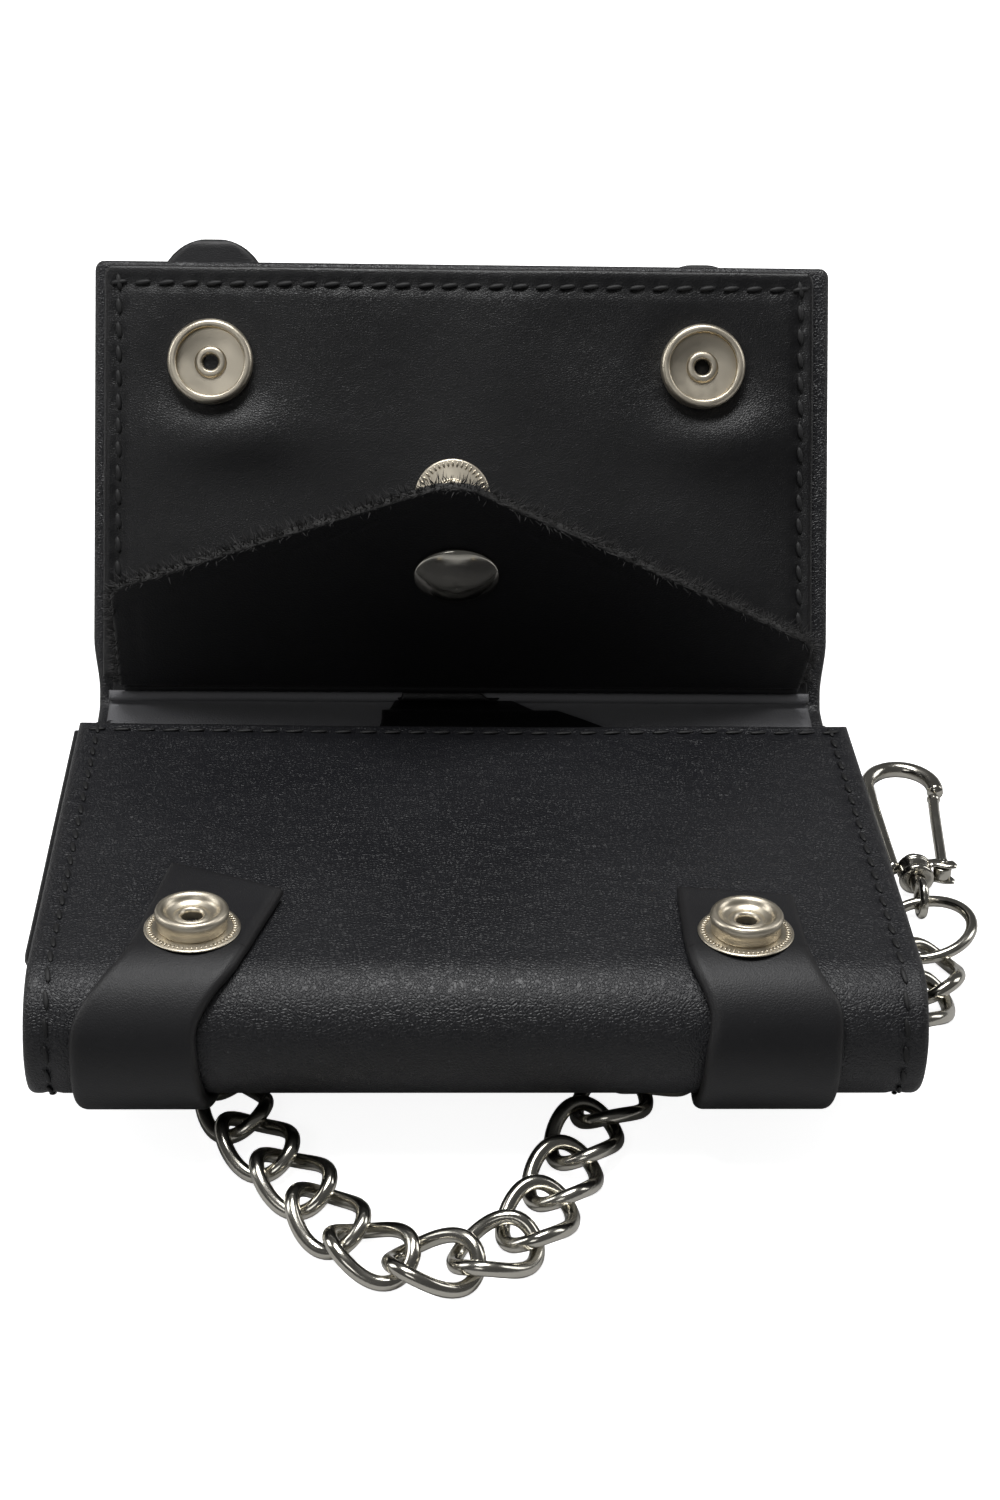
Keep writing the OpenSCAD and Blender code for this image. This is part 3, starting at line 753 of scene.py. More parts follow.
overBend(stitchRow("outerStitches", None, seamRows(wrapPoint, wrapSeams, 0.02, wrapBend)))


def liningSide(side):
    def at(s):
        wide = 55.9 if side < 0 else 54.6
        return side * (53 + (wide - 53) * smoothStep((s + 4) / 8))
    return at


innerWrap = leatherSheet("innerLining", None, smoothLeather, wrapPoint, liningSide(-1), liningSide(1),
                         wrapFoot,
                         wallet["frontLength"] + 0.9, wallet["lining"], step=1.6,
                         outer=-wallet["cover"] - 0.02,
                         bend=lambda x, s: min(0, wrapBend(x, s)), openEnds=(True, False))
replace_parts(overBend(innerWrap), "front_lining", "fold_lining", "back_lining")

cards = {"lengths": (62, 50, 38), "thick": 0.95, "foot": 6}
for index, length in enumerate(cards["lengths"]):
    foot, top = cards["foot"], length

    def cardSide(side, top=top):
        return lambda y: side * (52 - 2 * max(0, (y - top + 2) / 2) ** 2)
    seams = [(-49.5, foot + 2, -49.5, top - 1), (49.5, foot + 2, 49.5, top - 1)]
    pocket = leatherSheet(f"cardPocket{index + 1}", "front", smoothLeather,
                          lambda x, y, z: wrapPoint(x, y, -z), cardSide(-1), cardSide(1), foot, top,
                          cards["thick"], step=2.0, outer=wallet["cover"] + wallet["lining"] + index + 1.02,
                          press=seamPress(seams, 0.12))
    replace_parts(pocket, f"card_pocket_{index + 1}")
    stitchRow(f"cardStitches{index + 1}", "front",
              seamRows(lambda x, y, z: wrapPoint(x, y, -z), seams,
                       wallet["cover"] + wallet["lining"] + index + 1.0))
print("front panel and bend made")

# ---- behind the front panel: slanted pocket (dark, painted shadow), rear bend, pale strip (partly painted light) ----

pocketTop = 6.6 + 1.8 + 1 + 1


def slantLeft(y):
    return -52 if y < 28 else -52 + 36 * smoothStep((y - 28) / 4) + 4 * smoothStep((y - 31) / 14)


def slantRight(y):
    return 52 if y < 28 else 52 - 22 * (y - 28) / 9 if y < 37 else 30 - 17 * (y - 37) / 10


# painted shadow: where the slanted pocket shows over the pale strip, its dark leather in this slanted outline
# stands in for the shadow seen across the strip
slant = leatherSheet("slantedPocketShadow", None, smoothLeather, backPoint, slantLeft, slantRight, 4, 46.6, 1.0,
                     step=0.8, outer=pocketTop, bend=lambda x, y: 0.9 * smoothStep((y - 36) / 10))
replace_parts(blendAcross(slant), "slant_pocket")

rearBend = leatherSheet("rearBend", None, shellLeather, backPoint, -half + 0.4, half - 0.4, 33, 47, 1.8,
                        step=1.0, outer=8.4, openEnds=(True, True))
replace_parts(blendAcross(rearBend), "rear_fold")
# the pale strip: grey lining whose lightness is partly painted light
rearLining = leatherSheet("rearLining", None, liningGreyAndPaintedLight, backPoint, -52, 52, 33, 45.9, 1.0,
                          step=1.0, outer=9.42, openEnds=(True, True))
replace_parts(blendAcross(rearLining), "rear_lining")

# ---- raised flap: outer leather bends up out of the spine ----

crease = {"y": 52.0973, "z": 7.5, "radius": 2.0}
creaseTurn = math.radians(wallet["flapAngle"])
creaseTangent = crease["radius"] * math.tan(creaseTurn / 2)
creaseArc = crease["radius"] * creaseTurn
creaseFoot = 1.437


def creasePoint(x, t, n):
    # t runs along the middle of the leather from the spine, through the bend and up the flap
    # n is towards the inside
    y, z, r = crease["y"], crease["z"], crease["radius"]
    if t < 0:
        return Vector((x, y - creaseTangent + t, z + n))
    if t < creaseArc:
        a = t / r
        return Vector((x, y - creaseTangent + (r - n) * math.sin(a), z + r - (r - n) * math.cos(a)))
    c, s = math.cos(creaseTurn), math.sin(creaseTurn)
    d = creaseTangent + t - creaseArc
    return Vector((x, y + d * c - n * s, z + d * s + n * c))


def flapReach(y):
    # the place on creasePoint of a place along the flap
    return y - creaseFoot - creaseTangent + creaseArc


def overCrease(obj):
    return blendAcross(obj)


spineStart = 47 - crease["y"] + creaseTangent
flapTop = flapReach(wallet["flapLength"])


def flapSide(side):
    def at(t):
        foot = half - 0.9
        wide = foot + 0.9 * smoothStep((t - flapReach(4)) / 8)
        d, r = t - (flapTop - 1.4), 1.4
        return side * (wide - (r - math.sqrt(max(0, r * r - d * d)) if d > 0 else 0))
    return at


flapSeams = [(side * (half - 3), flapReach(3), side * (half - 3), flapTop - 3) for side in (-1, 1)]
flapSeams.append((-half + 3, flapTop - 3, half - 3, flapTop - 3))
flapCover = leatherSheet("flapLeather", None, shellLeather, lambda x, t, n: creasePoint(x, t, -n),
                         flapSide(-1), flapSide(1), spineStart, flapTop, 1.8, step=1.0, outer=0.9,
                         press=seamPress(flapSeams), openEnds=(True, False))
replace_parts(overCrease(flapCover), "flap_crease", "flap_cover", "rear_spine")
overCrease(stitchRow("flapOuterStitches", None,
                     seamRows(lambda x, t, n: creasePoint(x, t, -n), flapSeams, 0.92)))
stripStart = 45.9 - crease["y"] + creaseTangent
# the pale strip over the spine: grey lining whose lightness is partly painted light
spineLining = leatherSheet("spineLining", None, liningGreyAndPaintedLight, creasePoint, -52.5, 52, stripStart,
                           flapReach(4.1), 0.9,
                           step=0.5, outer=1.92, openEnds=(True, False),
                           bend=lambda x, t: 1.35 * smoothStep((t + 1) / 4))
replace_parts(overCrease(spineLining), "spine_lining")
# painted shadow: the pocket's dark top carried on over the crease, in the same slanted shape as the shadow
# across the pale strip
slantShadowTop = leatherSheet("slantedPocketShadowTop", None, smoothLeather, creasePoint,
                        lambda t: -11.5 + 0.3 * (t - stripStart),
                        lambda t: 13 - 1.2 * (t - stripStart), stripStart, flapReach(4.1), 0.8, step=0.5,
                        outer=2.85, openEnds=(True, False), bend=lambda x, t: 1.35 * smoothStep((t + 1) / 4))
overCrease(slantShadowTop)

pouch = leatherSheet("pouchBack", "flap", smoothLeather, flapPoint, -52, 52, 3.4, 66.6, 0.8,
                     step=2.5, outer=-1.3)
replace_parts(pouch, "pouch_back")

inner = {"left": -53.4, "right": 52.4, "foot": 6.2, "top": 67.2, "corner": 1.4, "dent": 0.5, "wave": 0.4}
innerSeams = [(-51.2, 8, -51.2, 64.6), (-51.2, 64.6, 50.4, 64.6), (50.4, 64.6, 50.4, 8)]
innerWave = unevenness(inner["wave"], 14, 8.3)


def innerSide(side):
    edge = inner["right"] if side > 0 else inner["left"]

    def at(y):
        d = y - (inner["top"] - inner["corner"])
        r = inner["corner"]
        return edge - side * (r - math.sqrt(max(0, r * r - d * d)) if d > 0 else 0)
    return at


def innerBend(x, y):
    # the leather is drawn down round the snaps and swells a little below each of them
    total = innerWave(x, y) * smoothStep((y - 6) / 6) - 0.1
    for snapX in (wallet["snapLeft"], wallet["snapRight"]):
        d = math.hypot(x - snapX, y - 52.8)
        total -= inner["dent"] * math.exp(-((d - 6.5) / 3.2) ** 2) * 0.55
        below = math.hypot((x - snapX - 3) / 1.9, (y - 42))
        total += 1.2 * math.exp(-(below / 5.0) ** 2)
    return total


flapLining = leatherSheet("flapLining", "flap", smoothLeather, flapPoint, innerSide(-1), innerSide(1),
                          inner["foot"], inner["top"], 1.0, step=0.8, outer=0.0,
                          press=seamPress(innerSeams, 0.28, 0.85), bend=innerBend)
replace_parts(flapLining, "flap_lining")
stitchRow("flapStitches", "flap", seamRows(flapPoint, innerSeams, 0.05, innerBend),
          {"Thread Width": 0.00085, "Thread Height": 0.0006})
print("raised flap made")

# ---- coin flap ----

coin = {"thick": 1.3, "groove": 3.2, "apexX": -2.5, "apexY": 40.6, "apexR": 7.4}


def coinSide(side):
    top = coin["apexY"] + coin["apexR"]
    angle = 55.4 if side > 0 else 117
    joinX = coin["apexX"] + coin["apexR"] * math.cos(math.radians(angle))
    joinY = coin["apexY"] + coin["apexR"] * math.sin(math.radians(angle))
    foot, corner = ((50.3, 51.2), 12.5) if side > 0 else ((-50.8, -50.4), 24.5)

    def line(y):
        if y < corner:
            return foot[0] + (foot[1] - foot[0]) * y / corner
        return foot[1] + (joinX - foot[1]) * (y - corner) / (joinY - corner)

    def at(y):
        if y > joinY:
            return coin["apexX"] + side * math.sqrt(max(0,
                coin["apexR"] ** 2 - (min(y, top) - coin["apexY"]) ** 2))
        soft = 1.6
        if abs(y - corner) < soft:
            t = (y - corner + soft) / (2 * soft)
            return (line(corner - soft) * (1 - t) ** 2 + 2 * foot[1] * t * (1 - t) + line(corner + soft) * t * t)
        return line(y)
    return at


def coinEdge(inset, step=0.6):
    # a line that follows the flap's cut edge from its right foot over the tip to its left foot
    top = coin["apexY"] + coin["apexR"]
    line = []
    for side in (1, -1):
        ys = [1 + i * (top - 1.02) / 160 for i in range(161)]
        points = [Vector((coinSide(side)(y), y)) for y in ys]
        line += points if side > 0 else list(reversed(points))
    out = []
    for i, p in enumerate(line):
        a, b = line[max(0, i - 2)], line[min(len(line) - 1, i + 2)]
        along = (b - a)
        if along.length < 1e-6:
            continue
        along.normalize()
        q = p + Vector((-along.y, along.x)) * inset
        if not out or (q - out[-1]).length > step:
            out.append(q)
    return out


coinWave = unevenness(0.3, 18, 5.7)
grooveLine = coinEdge(coin["groove"], 1.0)


def coinGroove(x, y):
    d = min((Vector((x, y)) - p).length for p in grooveLine) if y > 2 else 9
    return -0.16 * math.exp(-(d / 0.5) ** 2)


def coinBend(x, y):
    return coinWave(x, y) * smoothStep(y / 8)


coinFlap = leatherSheet("coinFlap", "coin_flap_body", coinLeather, coinPoint, coinSide(-1), coinSide(1), 0.75,
                        47.98, coin["thick"], step=0.8, outer=coin["thick"] / 2, rounding=0.35,
                        press=coinGroove, bend=coinBend)
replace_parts(coinFlap, "coin_flap")
fringe = [(p.x, p.y) for p in coinEdge(0.05, 0.4) if p.y > 2]
fringeLines, fringeUps = [], []
for level in (-0.45, -0.15, 0.15, 0.42):
    fringeLines.append([coinPoint(x, y, level + coinBend(x, y)) for x, y in fringe])
    ups = []
    for i, (x, y) in enumerate(fringe):
        a, b = fringe[max(0, i - 1)], fringe[min(len(fringe) - 1, i + 1)]
        flat = Vector((b[1] - a[1], a[0] - b[0])).normalized()
        out = coinPoint(x + flat.x, y + flat.y, level * 0.8) - coinPoint(x, y, 0)
        ups.append(out.normalized())
    fringeUps.append(ups)
fringeCarrier = lineCarrier("coinFibreLines", fringeLines, fringeUps)
coinFibres = grow("coinFibres", fringeCarrier, fibres, {
    "Spacing": 0.00018, "Fibre Length": 0.0013, "Fibre Width": 0.00017, "Seed": 3, "Material": fuzz})
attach(coinFibres, "coin_flap_body")
roll = smoothPath([(x, *turned(wallet["coinY"] - 0.05, wallet["coinZ"], wallet["flapAngle"],
                               wallet["creaseY"],
                               wallet["creaseZ"])) for x in range(-50, 51, 5)], 6)
coinRoll = wireMesh("coinRoll", "coin_root", coinLeather, roll, lambda t: 0.64, 20)
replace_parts(coinRoll, "coin_crease")
print("coin flap made")

# ---- straps ----

straps = {"halfWidth": 8, "round": 7.4, "ends": {
    "left": {"x": -37.6, "flapTop": 71.9, "stud": (-35.1, 3.6),
             "leftEdge": ((-60, -45.6), (-32, -47), (-22, -48.9), (-13, -49.3), (-9.8, -49), (-7.5, -47.9),
                          (-4, -45.3), (-1.3, -43.4), (2, -42.4), (9, -41.06), (20.4, -38.87)),
             "rightEdge": ((-60, -29.6), (-32, -31.5), (-19, -33.2), (-13, -34), (-10, -34), (-6.9, -32.4),
                           (-3.3, -29.7), (0, -28.3), (5, -26.9), (13.8, -24.31))},
    "right": {"x": 35.6, "flapTop": 68.9, "stud": (33.2, 2.8),
              "leftEdge": ((-60, 27.6), (-32, 27.4), (-23, 27), (-13, 27.6), (-8.8, 28.1), (-6.4, 27.5),
                           (-2.3, 26), (2, 25.62), (5.4, 25.64), (14.6, 25.73)),
              "rightEdge": ((-60, 43.6), (-32, 43.6), (-23, 43.9), (-13, 44.2), (-7.5, 44.0), (-5.2, 42.6),
                            (-2, 41.2), (1.3, 40.75), (6.9, 40.61), (12.6, 40.46))}}}
strapHalf = straps["halfWidth"]


def edgeAt(table, s):
    # the place of a strap's edge at s, joined smoothly between the table's points
    s = max(table[0][0], min(table[-1][0], s))
    i = max(k for k in range(len(table) - 1) if table[k][0] <= s)
    (s1, x1), (s2, x2) = table[i], table[i + 1]
    s0, x0 = table[i - 1] if i else (2 * s1 - s2, 2 * x1 - x2)
    s3, x3 = table[i + 2] if i + 2 < len(table) else (2 * s2 - s1, 2 * x2 - x1)
    h = s2 - s1
    m1, m2 = (x2 - x0) / (s2 - s0) * h, (x3 - x1) / (s3 - s1) * h
    t = (s - s1) / h
    return ((2 * t ** 3 - 3 * t * t + 1) * x1 + (t ** 3 - 2 * t * t + t) * m1
            + (3 * t * t - 2 * t ** 3) * x2 + (t ** 3 - t * t) * m2)


def tipSheet(name, toPoint):
    # a slab over u and v, with its three cut edges rounded over and its foot left square
    places = [d / 16 * 10 for d in fineSteps(16, 0.6)]
    columns, rows = places, [v for v in places if v == 0 or v > 0.2]
    verts, edge, faces = [], [], []
    for sign in (1, -1):
        for v in rows:
            for u in columns:
                d = min(u, 10 - u, 10 - v) * 1.6
                share = 1 if d > 1 else 0.16 + 0.84 * math.sqrt(max(0, 1 - (1 - d) ** 2))
                verts.append(toPoint(u, v, 1 + sign * share))
                edge.append(max(0, 1 - d / 1.4))
    nc, nr = len(columns), len(rows)
    under = nc * nr
    for r in range(nr - 1):
        for c in range(nc - 1):
            i = r * nc + c
            faces += [(i, i + 1, i + nc + 1, i + nc),
                      (under + i, under + i + nc, under + i + nc + 1, under + i + 1)]
    rim = list(range(nc)) + [r * nc + nc - 1 for r in range(1, nr)]
    rim += [(nr - 1) * nc + c for c in range(nc - 2, -1, -1)] + [r * nc for r in range(nr - 2, 0, -1)]
    for i, a in enumerate(rim):
        b = rim[(i + 1) % len(rim)]
        faces.append((a, under + a, under + b, b))
    obj = makeObject(name, verts, faces, strapLeather, attributes={"edge": edge})
    fixNormals(obj)
    sharpen(obj, set(range(nc)) | set(range(under, under + nc)))
    return obj


for side, tip in straps["ends"].items():
    label = side.capitalize()
    around = leatherSheet(f"strap{label}", None, strapLeather, wrapPoint,
                          lambda s, e=tip["leftEdge"]: edgeAt(e, s), lambda s,
                          e=tip["rightEdge"]: edgeAt(e, s),
                          wrapFoot, 0.06, 2.0, step=0.7, outer=2.0, openEnds=(True, True))
    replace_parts(overBend(around), f"strap_back_{side}", f"strap_front_{side}")

    def tipPoint(u, v, z, tip=tip):
        # u and v run from 0 to 10 across and along the free end, whose far edge is cut at a slant
        lo, hi = tip["leftEdge"], tip["rightEdge"]
        sLeft, sRight = lo[-1][0] * v / 10, hi[-1][0] * v / 10
        a, b = edgeAt(lo, sLeft), edgeAt(hi, sRight)
        w = u / 10
        s = sLeft + (sRight - sLeft) * w
        lift = 0.35 * smoothStep((s - 9) / 9)
        return frontPoint(a + (b - a) * w, s, wallet["foldRadius"] + z + lift)

    end = tipSheet(f"strapEnd{label}", tipPoint)
    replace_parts(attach(end, f"strap_end_{side}"), f"strap_tip_{side}")

    rear = leatherSheet(f"strapRear{label}", None, strapLeather, lambda x, y, z: backPoint(x, y, -z),
                        tip["x"] - strapHalf, tip["x"] + strapHalf, 33, 47, 2.0, step=1.0, outer=-4.6,
                        openEnds=(True, True))
    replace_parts(blendAcross(rear), f"strap_rear_{side}")

    top = flapReach(tip["flapTop"])

    def flapStrapSide(sign, top=top, x=tip["x"]):
        def at(t):
            d = t - (top - straps["round"])
            r = straps["round"]
            return x + sign * (strapHalf - (r - math.sqrt(max(0, r * r - d * d)) if d > 0 else 0))
        return at
    upper = leatherSheet(f"flapStrap{label}", None, strapLeather, lambda x, t, n: creasePoint(x, t, -n),
                         flapStrapSide(-1), flapStrapSide(1), spineStart, top - 0.02, 2.0, step=0.8,
                         outer=2.9,
                         openEnds=(True, False))
    overCrease(upper)
    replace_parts(upper, f"strap_flap_{side}")
    if side == "left":
        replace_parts(upper, "spine_straps")
print("straps made")

# ---- snaps ----

socketProfile = rounded([(1.5, 0), (5.9, 0), (6.3, 0.5), (6.3, 2.1), (5.9, 2.62), (5.25, 2.62), (5.0, 2.3),
                         (5.15, 2.12), (5.55, 2.05), (5.55, 0.55), (1.5, 0.5)], 0.28, 4)
eyeletProfile = rounded([(1.15, -0.3), (1.45, -0.3), (1.5, 0.5), (2.3, 0.5), (2.4, 0.75), (2.1, 1.05),
                         (1.4, 1.1), (1.15, 0.7)], 0.2, 3)
holeProfile = [(0, -0.28), (1.3, -0.28), (1.3, -0.2), (0, -0.2)]
capProfile = rounded([(0, -5.5), (1.4, -5.5), (1.5, -5.88), (6.15, -5.88), (6.3, -6.1), (6.15, -6.4),
                      (5.2, -6.9),
                      (3.6, -7.25), (1.8, -7.42), (0, -7.48)], 0.25, 3)
sockets, caps = [], []
for x in (wallet["snapLeft"], wallet["snapRight"]):
    sockets.append(lathe("socket", None, satinNickel, socketProfile, flapPoint, (x, 52.8), 0))
    caps.append(lathe("eyelet", None, satinNickel, eyeletProfile, flapPoint, (x, 52.8), 0, 40))
    caps.append(lathe("hole", None, shadow, holeProfile, flapPoint, (x, 52.8), 0, 24))
    caps.append(lathe("cap", None, nickel, capProfile, flapPoint, (x, 52.8), 0))


def joined(name, objects, body):
    with bpy.context.temp_override(active_object=objects[0], selected_editable_objects=objects,
                                   selected_objects=objects, object=objects[0]):
        bpy.ops.object.join()
    objects[0].name = name
    objects[0].data.name = name
    if body:
        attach(objects[0], body)
    return objects[0]


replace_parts(joined("snapSockets", sockets, "flap"), "snap_sockets")
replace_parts(joined("snapCaps", caps, "flap"), "snap_caps")

flange = rounded([(1.5, 0.02), (5.9, 0.02), (6.0, 0.15), (5.8, 0.3), (4.4, 0.36), (1.5, 0.36)], 0.1, 2)
studRing = rounded([(1.3, 0.3), (4.35, 0.3), (4.3, 1.1), (4.5, 1.7), (4.62, 2.4), (4.35, 2.92), (3.8, 2.98),
                    (3.4, 2.7), (3.1, 2.2), (2.3, 1.85), (2.0, 2.05), (1.6, 2.05), (1.3, 1.7)], 0.35, 3)
studFloor = rounded([(0, 0.3), (1.28, 0.3), (1.28, 0.6), (0, 0.6)], 0.05, 2)


def rimRing(name, toPoint, centre, height, values):
    ring = bpy.data.objects.new(name, bpy.data.meshes.new(name))
    bpy.context.scene.collection.objects.link(ring)
    o = toFrame(toPoint(centre[0], centre[1], height))
    ex = (toFrame(toPoint(centre[0] + 1, centre[1], height)) - o).normalized()
    ey = (toFrame(toPoint(centre[0], centre[1] + 1, height)) - o).normalized()
    ez = ex.cross(ey)
    place = Matrix((ex, ey, ez)).transposed().to_4x4()
    place.translation = o
    return grow(name, ring, rims, values, place)


studRim = {"Count": 58, "Ring Radius": 0.0053, "Ridge Length": 0.00075, "Ridge Width": 0.00034,
           "Ridge Height": 0.00036, "Material": satinNickel}
for side, tip in straps["ends"].items():
    parts = [lathe("flange", None, satinNickel, flange, frontPoint, tip["stud"], 11),
             lathe("ring", None, satinNickel, studRing, frontPoint, tip["stud"], 11),
             rimRing("rim", frontPoint, tip["stud"], 11.33, studRim)]
    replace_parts(joined(f"stud{side.capitalize()}", parts, f"strap_end_{side}"), f"stud_{side}")
    post = lathe(f"studPost{side.capitalize()}", f"strap_end_{side}", shadow, studFloor, frontPoint,
                 tip["stud"], 11, 40)
    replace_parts(post, f"stud_post_{side}")

coinStudAt, coinCapAt = (-1.6, 33.2), (-1.6, 28.9)
coinStudRim = {"Count": 44, "Ring Radius": 0.0049, "Ridge Length": 0.0010, "Ridge Width": 0.00040,
               "Ridge Height": 0.00036, "Material": satinNickel}
coinParts = [lathe("coinFlange", None, satinNickel, rounded(
    [(1.5, 0.02), (5.5, 0.02), (5.7, 0.2), (5.5, 0.42), (2.6, 0.5), (2.4, 0.9), (2.15, 1.3), (2.4, 1.6),
     (2.3, 1.85), (1.5, 1.9)], 0.12, 2), flapPoint, coinStudAt, 0),
    rimRing("coinRim", flapPoint, coinStudAt, 0.46, coinStudRim)]
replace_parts(joined("coinStud", coinParts, "flap"), "coin_stud")
coinPost = lathe("coinPost", "flap", nickel, rounded(
    [(0.7, -1.2), (1.45, -1.2), (1.45, 1.8), (1.3, 2.0), (0.9, 2.0), (0.7, 1.8)], 0.1, 2), flapPoint,
    coinStudAt, 0)
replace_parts(coinPost, "coin_post")
coinCap = lathe("coinCap", "coin_flap_body", nickel, rounded(
    [(0, 0.3), (1.2, 0.3), (1.3, 0.68), (5.9, 0.68), (6.1, 0.85), (6.0, 1.2), (5.3, 1.7), (4.2, 2.35),
     (2.8, 2.85),
     (1.4, 3.08), (0, 3.14)], 0.3, 3), coinPoint, coinCapAt, 0)
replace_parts(coinCap, "coin_cap")
coinSocket = lathe("coinSocket", "coin_flap_body", nickel, rounded(
    [(1.3, -0.66), (5.1, -0.66), (5.2, -0.9), (5.2, -2.2), (4.9, -2.44), (3.4, -2.44), (3.2, -2.2),
     (3.9, -2.0),
     (3.9, -1.05), (1.3, -1.05)], 0.15, 2), coinPoint, coinCapAt, 0)
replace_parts(coinSocket, "coin_socket")
for node in ("snap_springs", "coin_spring"):
    nodes[node].data.materials.clear()
    nodes[node].data.materials.append(brass)
print("snaps made")

# ---- chain ----

chain = {"start": (41, 34), "heading": 180, "pitch": 8, "height": 2.28, "runs": (4, 4, 4, 4, 4, 4, 4, 5),
         "turns": (-7, -4, 2, 8, 15, 20, 17, 11, 5, 2, 1, 2, 5, 10, 17, 20, 3, -8, 28, 32, 32, 32, 4, 1,
                   -15, -21, -18, -8, 5, 18, 26, 29)}
headings = [chain["heading"]]
centres = [Vector((*chain["start"], chain["height"]))]
for turn in chain["turns"]:
    old, new = math.radians(headings[-1]), math.radians(headings[-1] + turn)
    headings.append(headings[-1] + turn)
    step = Vector((math.cos(old) + math.cos(new), math.sin(old) + math.sin(new), 0)) * chain["pitch"] / 2
    centres.append(centres[-1] + step)
first = 0
for index, count in enumerate(chain["runs"]):
    mesh = bpy.data.meshes.new(f"runPoints{index + 1}")
    mesh.from_pydata([toFrame(p) for p in centres[first:first + count]], [], [])
    angles = [math.radians(a) for a in headings[first:first + count]]
    mesh.attributes.new("heading", "FLOAT", "POINT").data.foreach_set("value", angles)
    carrier = bpy.data.objects.new(f"runPoints{index + 1}", mesh)
    bpy.context.scene.collection.objects.link(carrier)
    run = grow(f"chainRun{index + 1}", carrier, links, {
        "Half Length": 0.0053, "Half Width": 0.004, "Twist": 0.0013, "Wire Radius": 0.00095,
        "Material": nickel})
    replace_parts(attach(run, f"run_{index + 1}"), f"chain_{index + 1}")
    first += count
print("chain made")

# ---- ring and snap hook ----

hook = {"ringRadius": 6.4, "ringWire": 0.8, "ringReach": 2.9, "ringTilt": -14, "ringZ": 2.42,
        "eyeRadius": 2.3,
        "eyeWire": 0.65, "eyeZ": 3.05, "barrel": (4, 7.5, 2.5), "bow": (1.2, 27, 5.0), "bowEnd": -12,
        "gateFoot": (4, 6.5)}
lastTurn = math.radians(headings[-1])
ringCentre = centres[-1] + Vector((math.cos(lastTurn), math.sin(lastTurn), 0)) * (
    hook["ringReach"] + hook["ringRadius"])
ringCentre.z = hook["ringZ"]
ringPlace = Matrix.Rotation(lastTurn, 3, "Z") @ Matrix.Rotation(math.radians(hook["ringTilt"]), 3, "X")
ringLine = [ringCentre + ringPlace @ Vector((math.cos(a), math.sin(a), 0)) * hook["ringRadius"]
            for a in [2 * math.pi * i / 72 for i in range(72)]]
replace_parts(wireMesh("endRing", "ring", nickel, ringLine, hook["ringWire"], 18, closed=True), "end_ring")

hookPlace = Vector((ringCentre.x + 0.4, ringCentre.y + hook["ringRadius"], hook["eyeZ"]))


def hookPoint(x, y, z):
    return hookPlace + Vector((x, y, z))


def hookLathe(x, y, z):
    # the lathe's own height runs along the hook
    return hookPlace + Vector((x, z, y))


eyeLine = [hookPoint(0, math.cos(a) * hook["eyeRadius"], math.sin(a) * hook["eyeRadius"])
           for a in [2 * math.pi * i / 48 for i in range(48)]]
eyeParts = [wireMesh("eye", None, nickel, eyeLine, hook["eyeWire"], 16, closed=True),
            lathe("eyePin", None, nickel,
                  rounded([(0, 2.3), (1.05, 2.3), (1.05, 7.7), (1.7, 7.72), (1.65, 8.5),
                                                   (0.9, 8.85), (0, 8.9)], 0.2, 3), hookLathe, (0, 0), 0, 32)]
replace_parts(joined("swivelEye", eyeParts, "swivel"), "swivel_eye")
barrel = lathe("barrel", None, nickel, rounded(
    [(1.16, 4), (2.2, 4), (2.5, 4.3), (2.5, 4.8), (2.3, 5.0), (2.3, 6.5), (2.5, 6.7), (2.5, 7.2), (2.2, 7.5),
     (1.16, 7.5)], 0.2, 3), hookLathe, (0, 0), 0, 40)
bowX, bowY, bowR = hook["bow"]
bowLine = [hookPoint(-3.0, 6.7, 0), hookPoint(-3.3, 13, 0), hookPoint(-3.6, 20, 0), hookPoint(-3.75, 24, 0)]
bowLine = smoothPath(bowLine, 8)[:-1]
bowLine += [hookPoint(bowX + bowR * math.cos(a), bowY + bowR * math.sin(a), 0)
            for a in [math.radians(180 - (180 - hook["bowEnd"]) * i / 40) for i in range(41)]]
bow = wireMesh("bow", None, nickel, bowLine, lambda t: 0.95 + 0.25 * smoothStep((t - 0.35) / 0.2), 18)
ears = []
for z in (-1.35, 1.35):
    ear = [hookPoint(1.9 + i * 0.45, 6.3 + 0.25 * math.sin(i * 0.7), z) for i in range(9)]
    ears.append(wireMesh("ear", None, nickel, ear, 0.9, 14, flat=0.38))
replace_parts(joined("hookBody", [barrel, bow] + ears, "hook"), "hook_body")
gateX, gateY = hook["gateFoot"]
noseX = bowX + bowR * math.cos(math.radians(hook["bowEnd"]))
noseY = bowY + bowR * math.sin(math.radians(hook["bowEnd"]))
gateLine = smoothPath([hookPoint(gateX + 0.05, gateY - 0.2, 0), hookPoint(gateX + 0.4, gateY + 4, 0),
                       hookPoint(noseX - 0.9, noseY - 5, 0), hookPoint(noseX - 0.5, noseY - 1.75, 0)], 10)
gate = wireMesh("gateBar", None, nickel, gateLine, lambda t: 0.8 + 0.2 * smoothStep((t - 0.9) / 0.1), 16)
knuckle = lathe("knuckle", None, nickel, rounded([(0.6, -0.9), (1.3, -0.9), (1.3, 0.9), (0.6, 0.9)], 0.2, 3),
                hookPoint, (gateX, gateY), 0, 28)
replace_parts(joined("hookGate", [gate, knuckle], "gate"), "hook_gate")
gatePin = lathe("gatePin", "hook", nickel, rounded([(0, -1.9), (0.55, -1.9), (0.55, 1.9), (0, 1.9)], 0.15, 3),
                hookPoint, (gateX, gateY), 0, 20)
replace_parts(gatePin, "gate_pin")

tab = {"x": 46.3, "y": 34, "z": 2.28, "inner": 1.75, "width": 1.4}


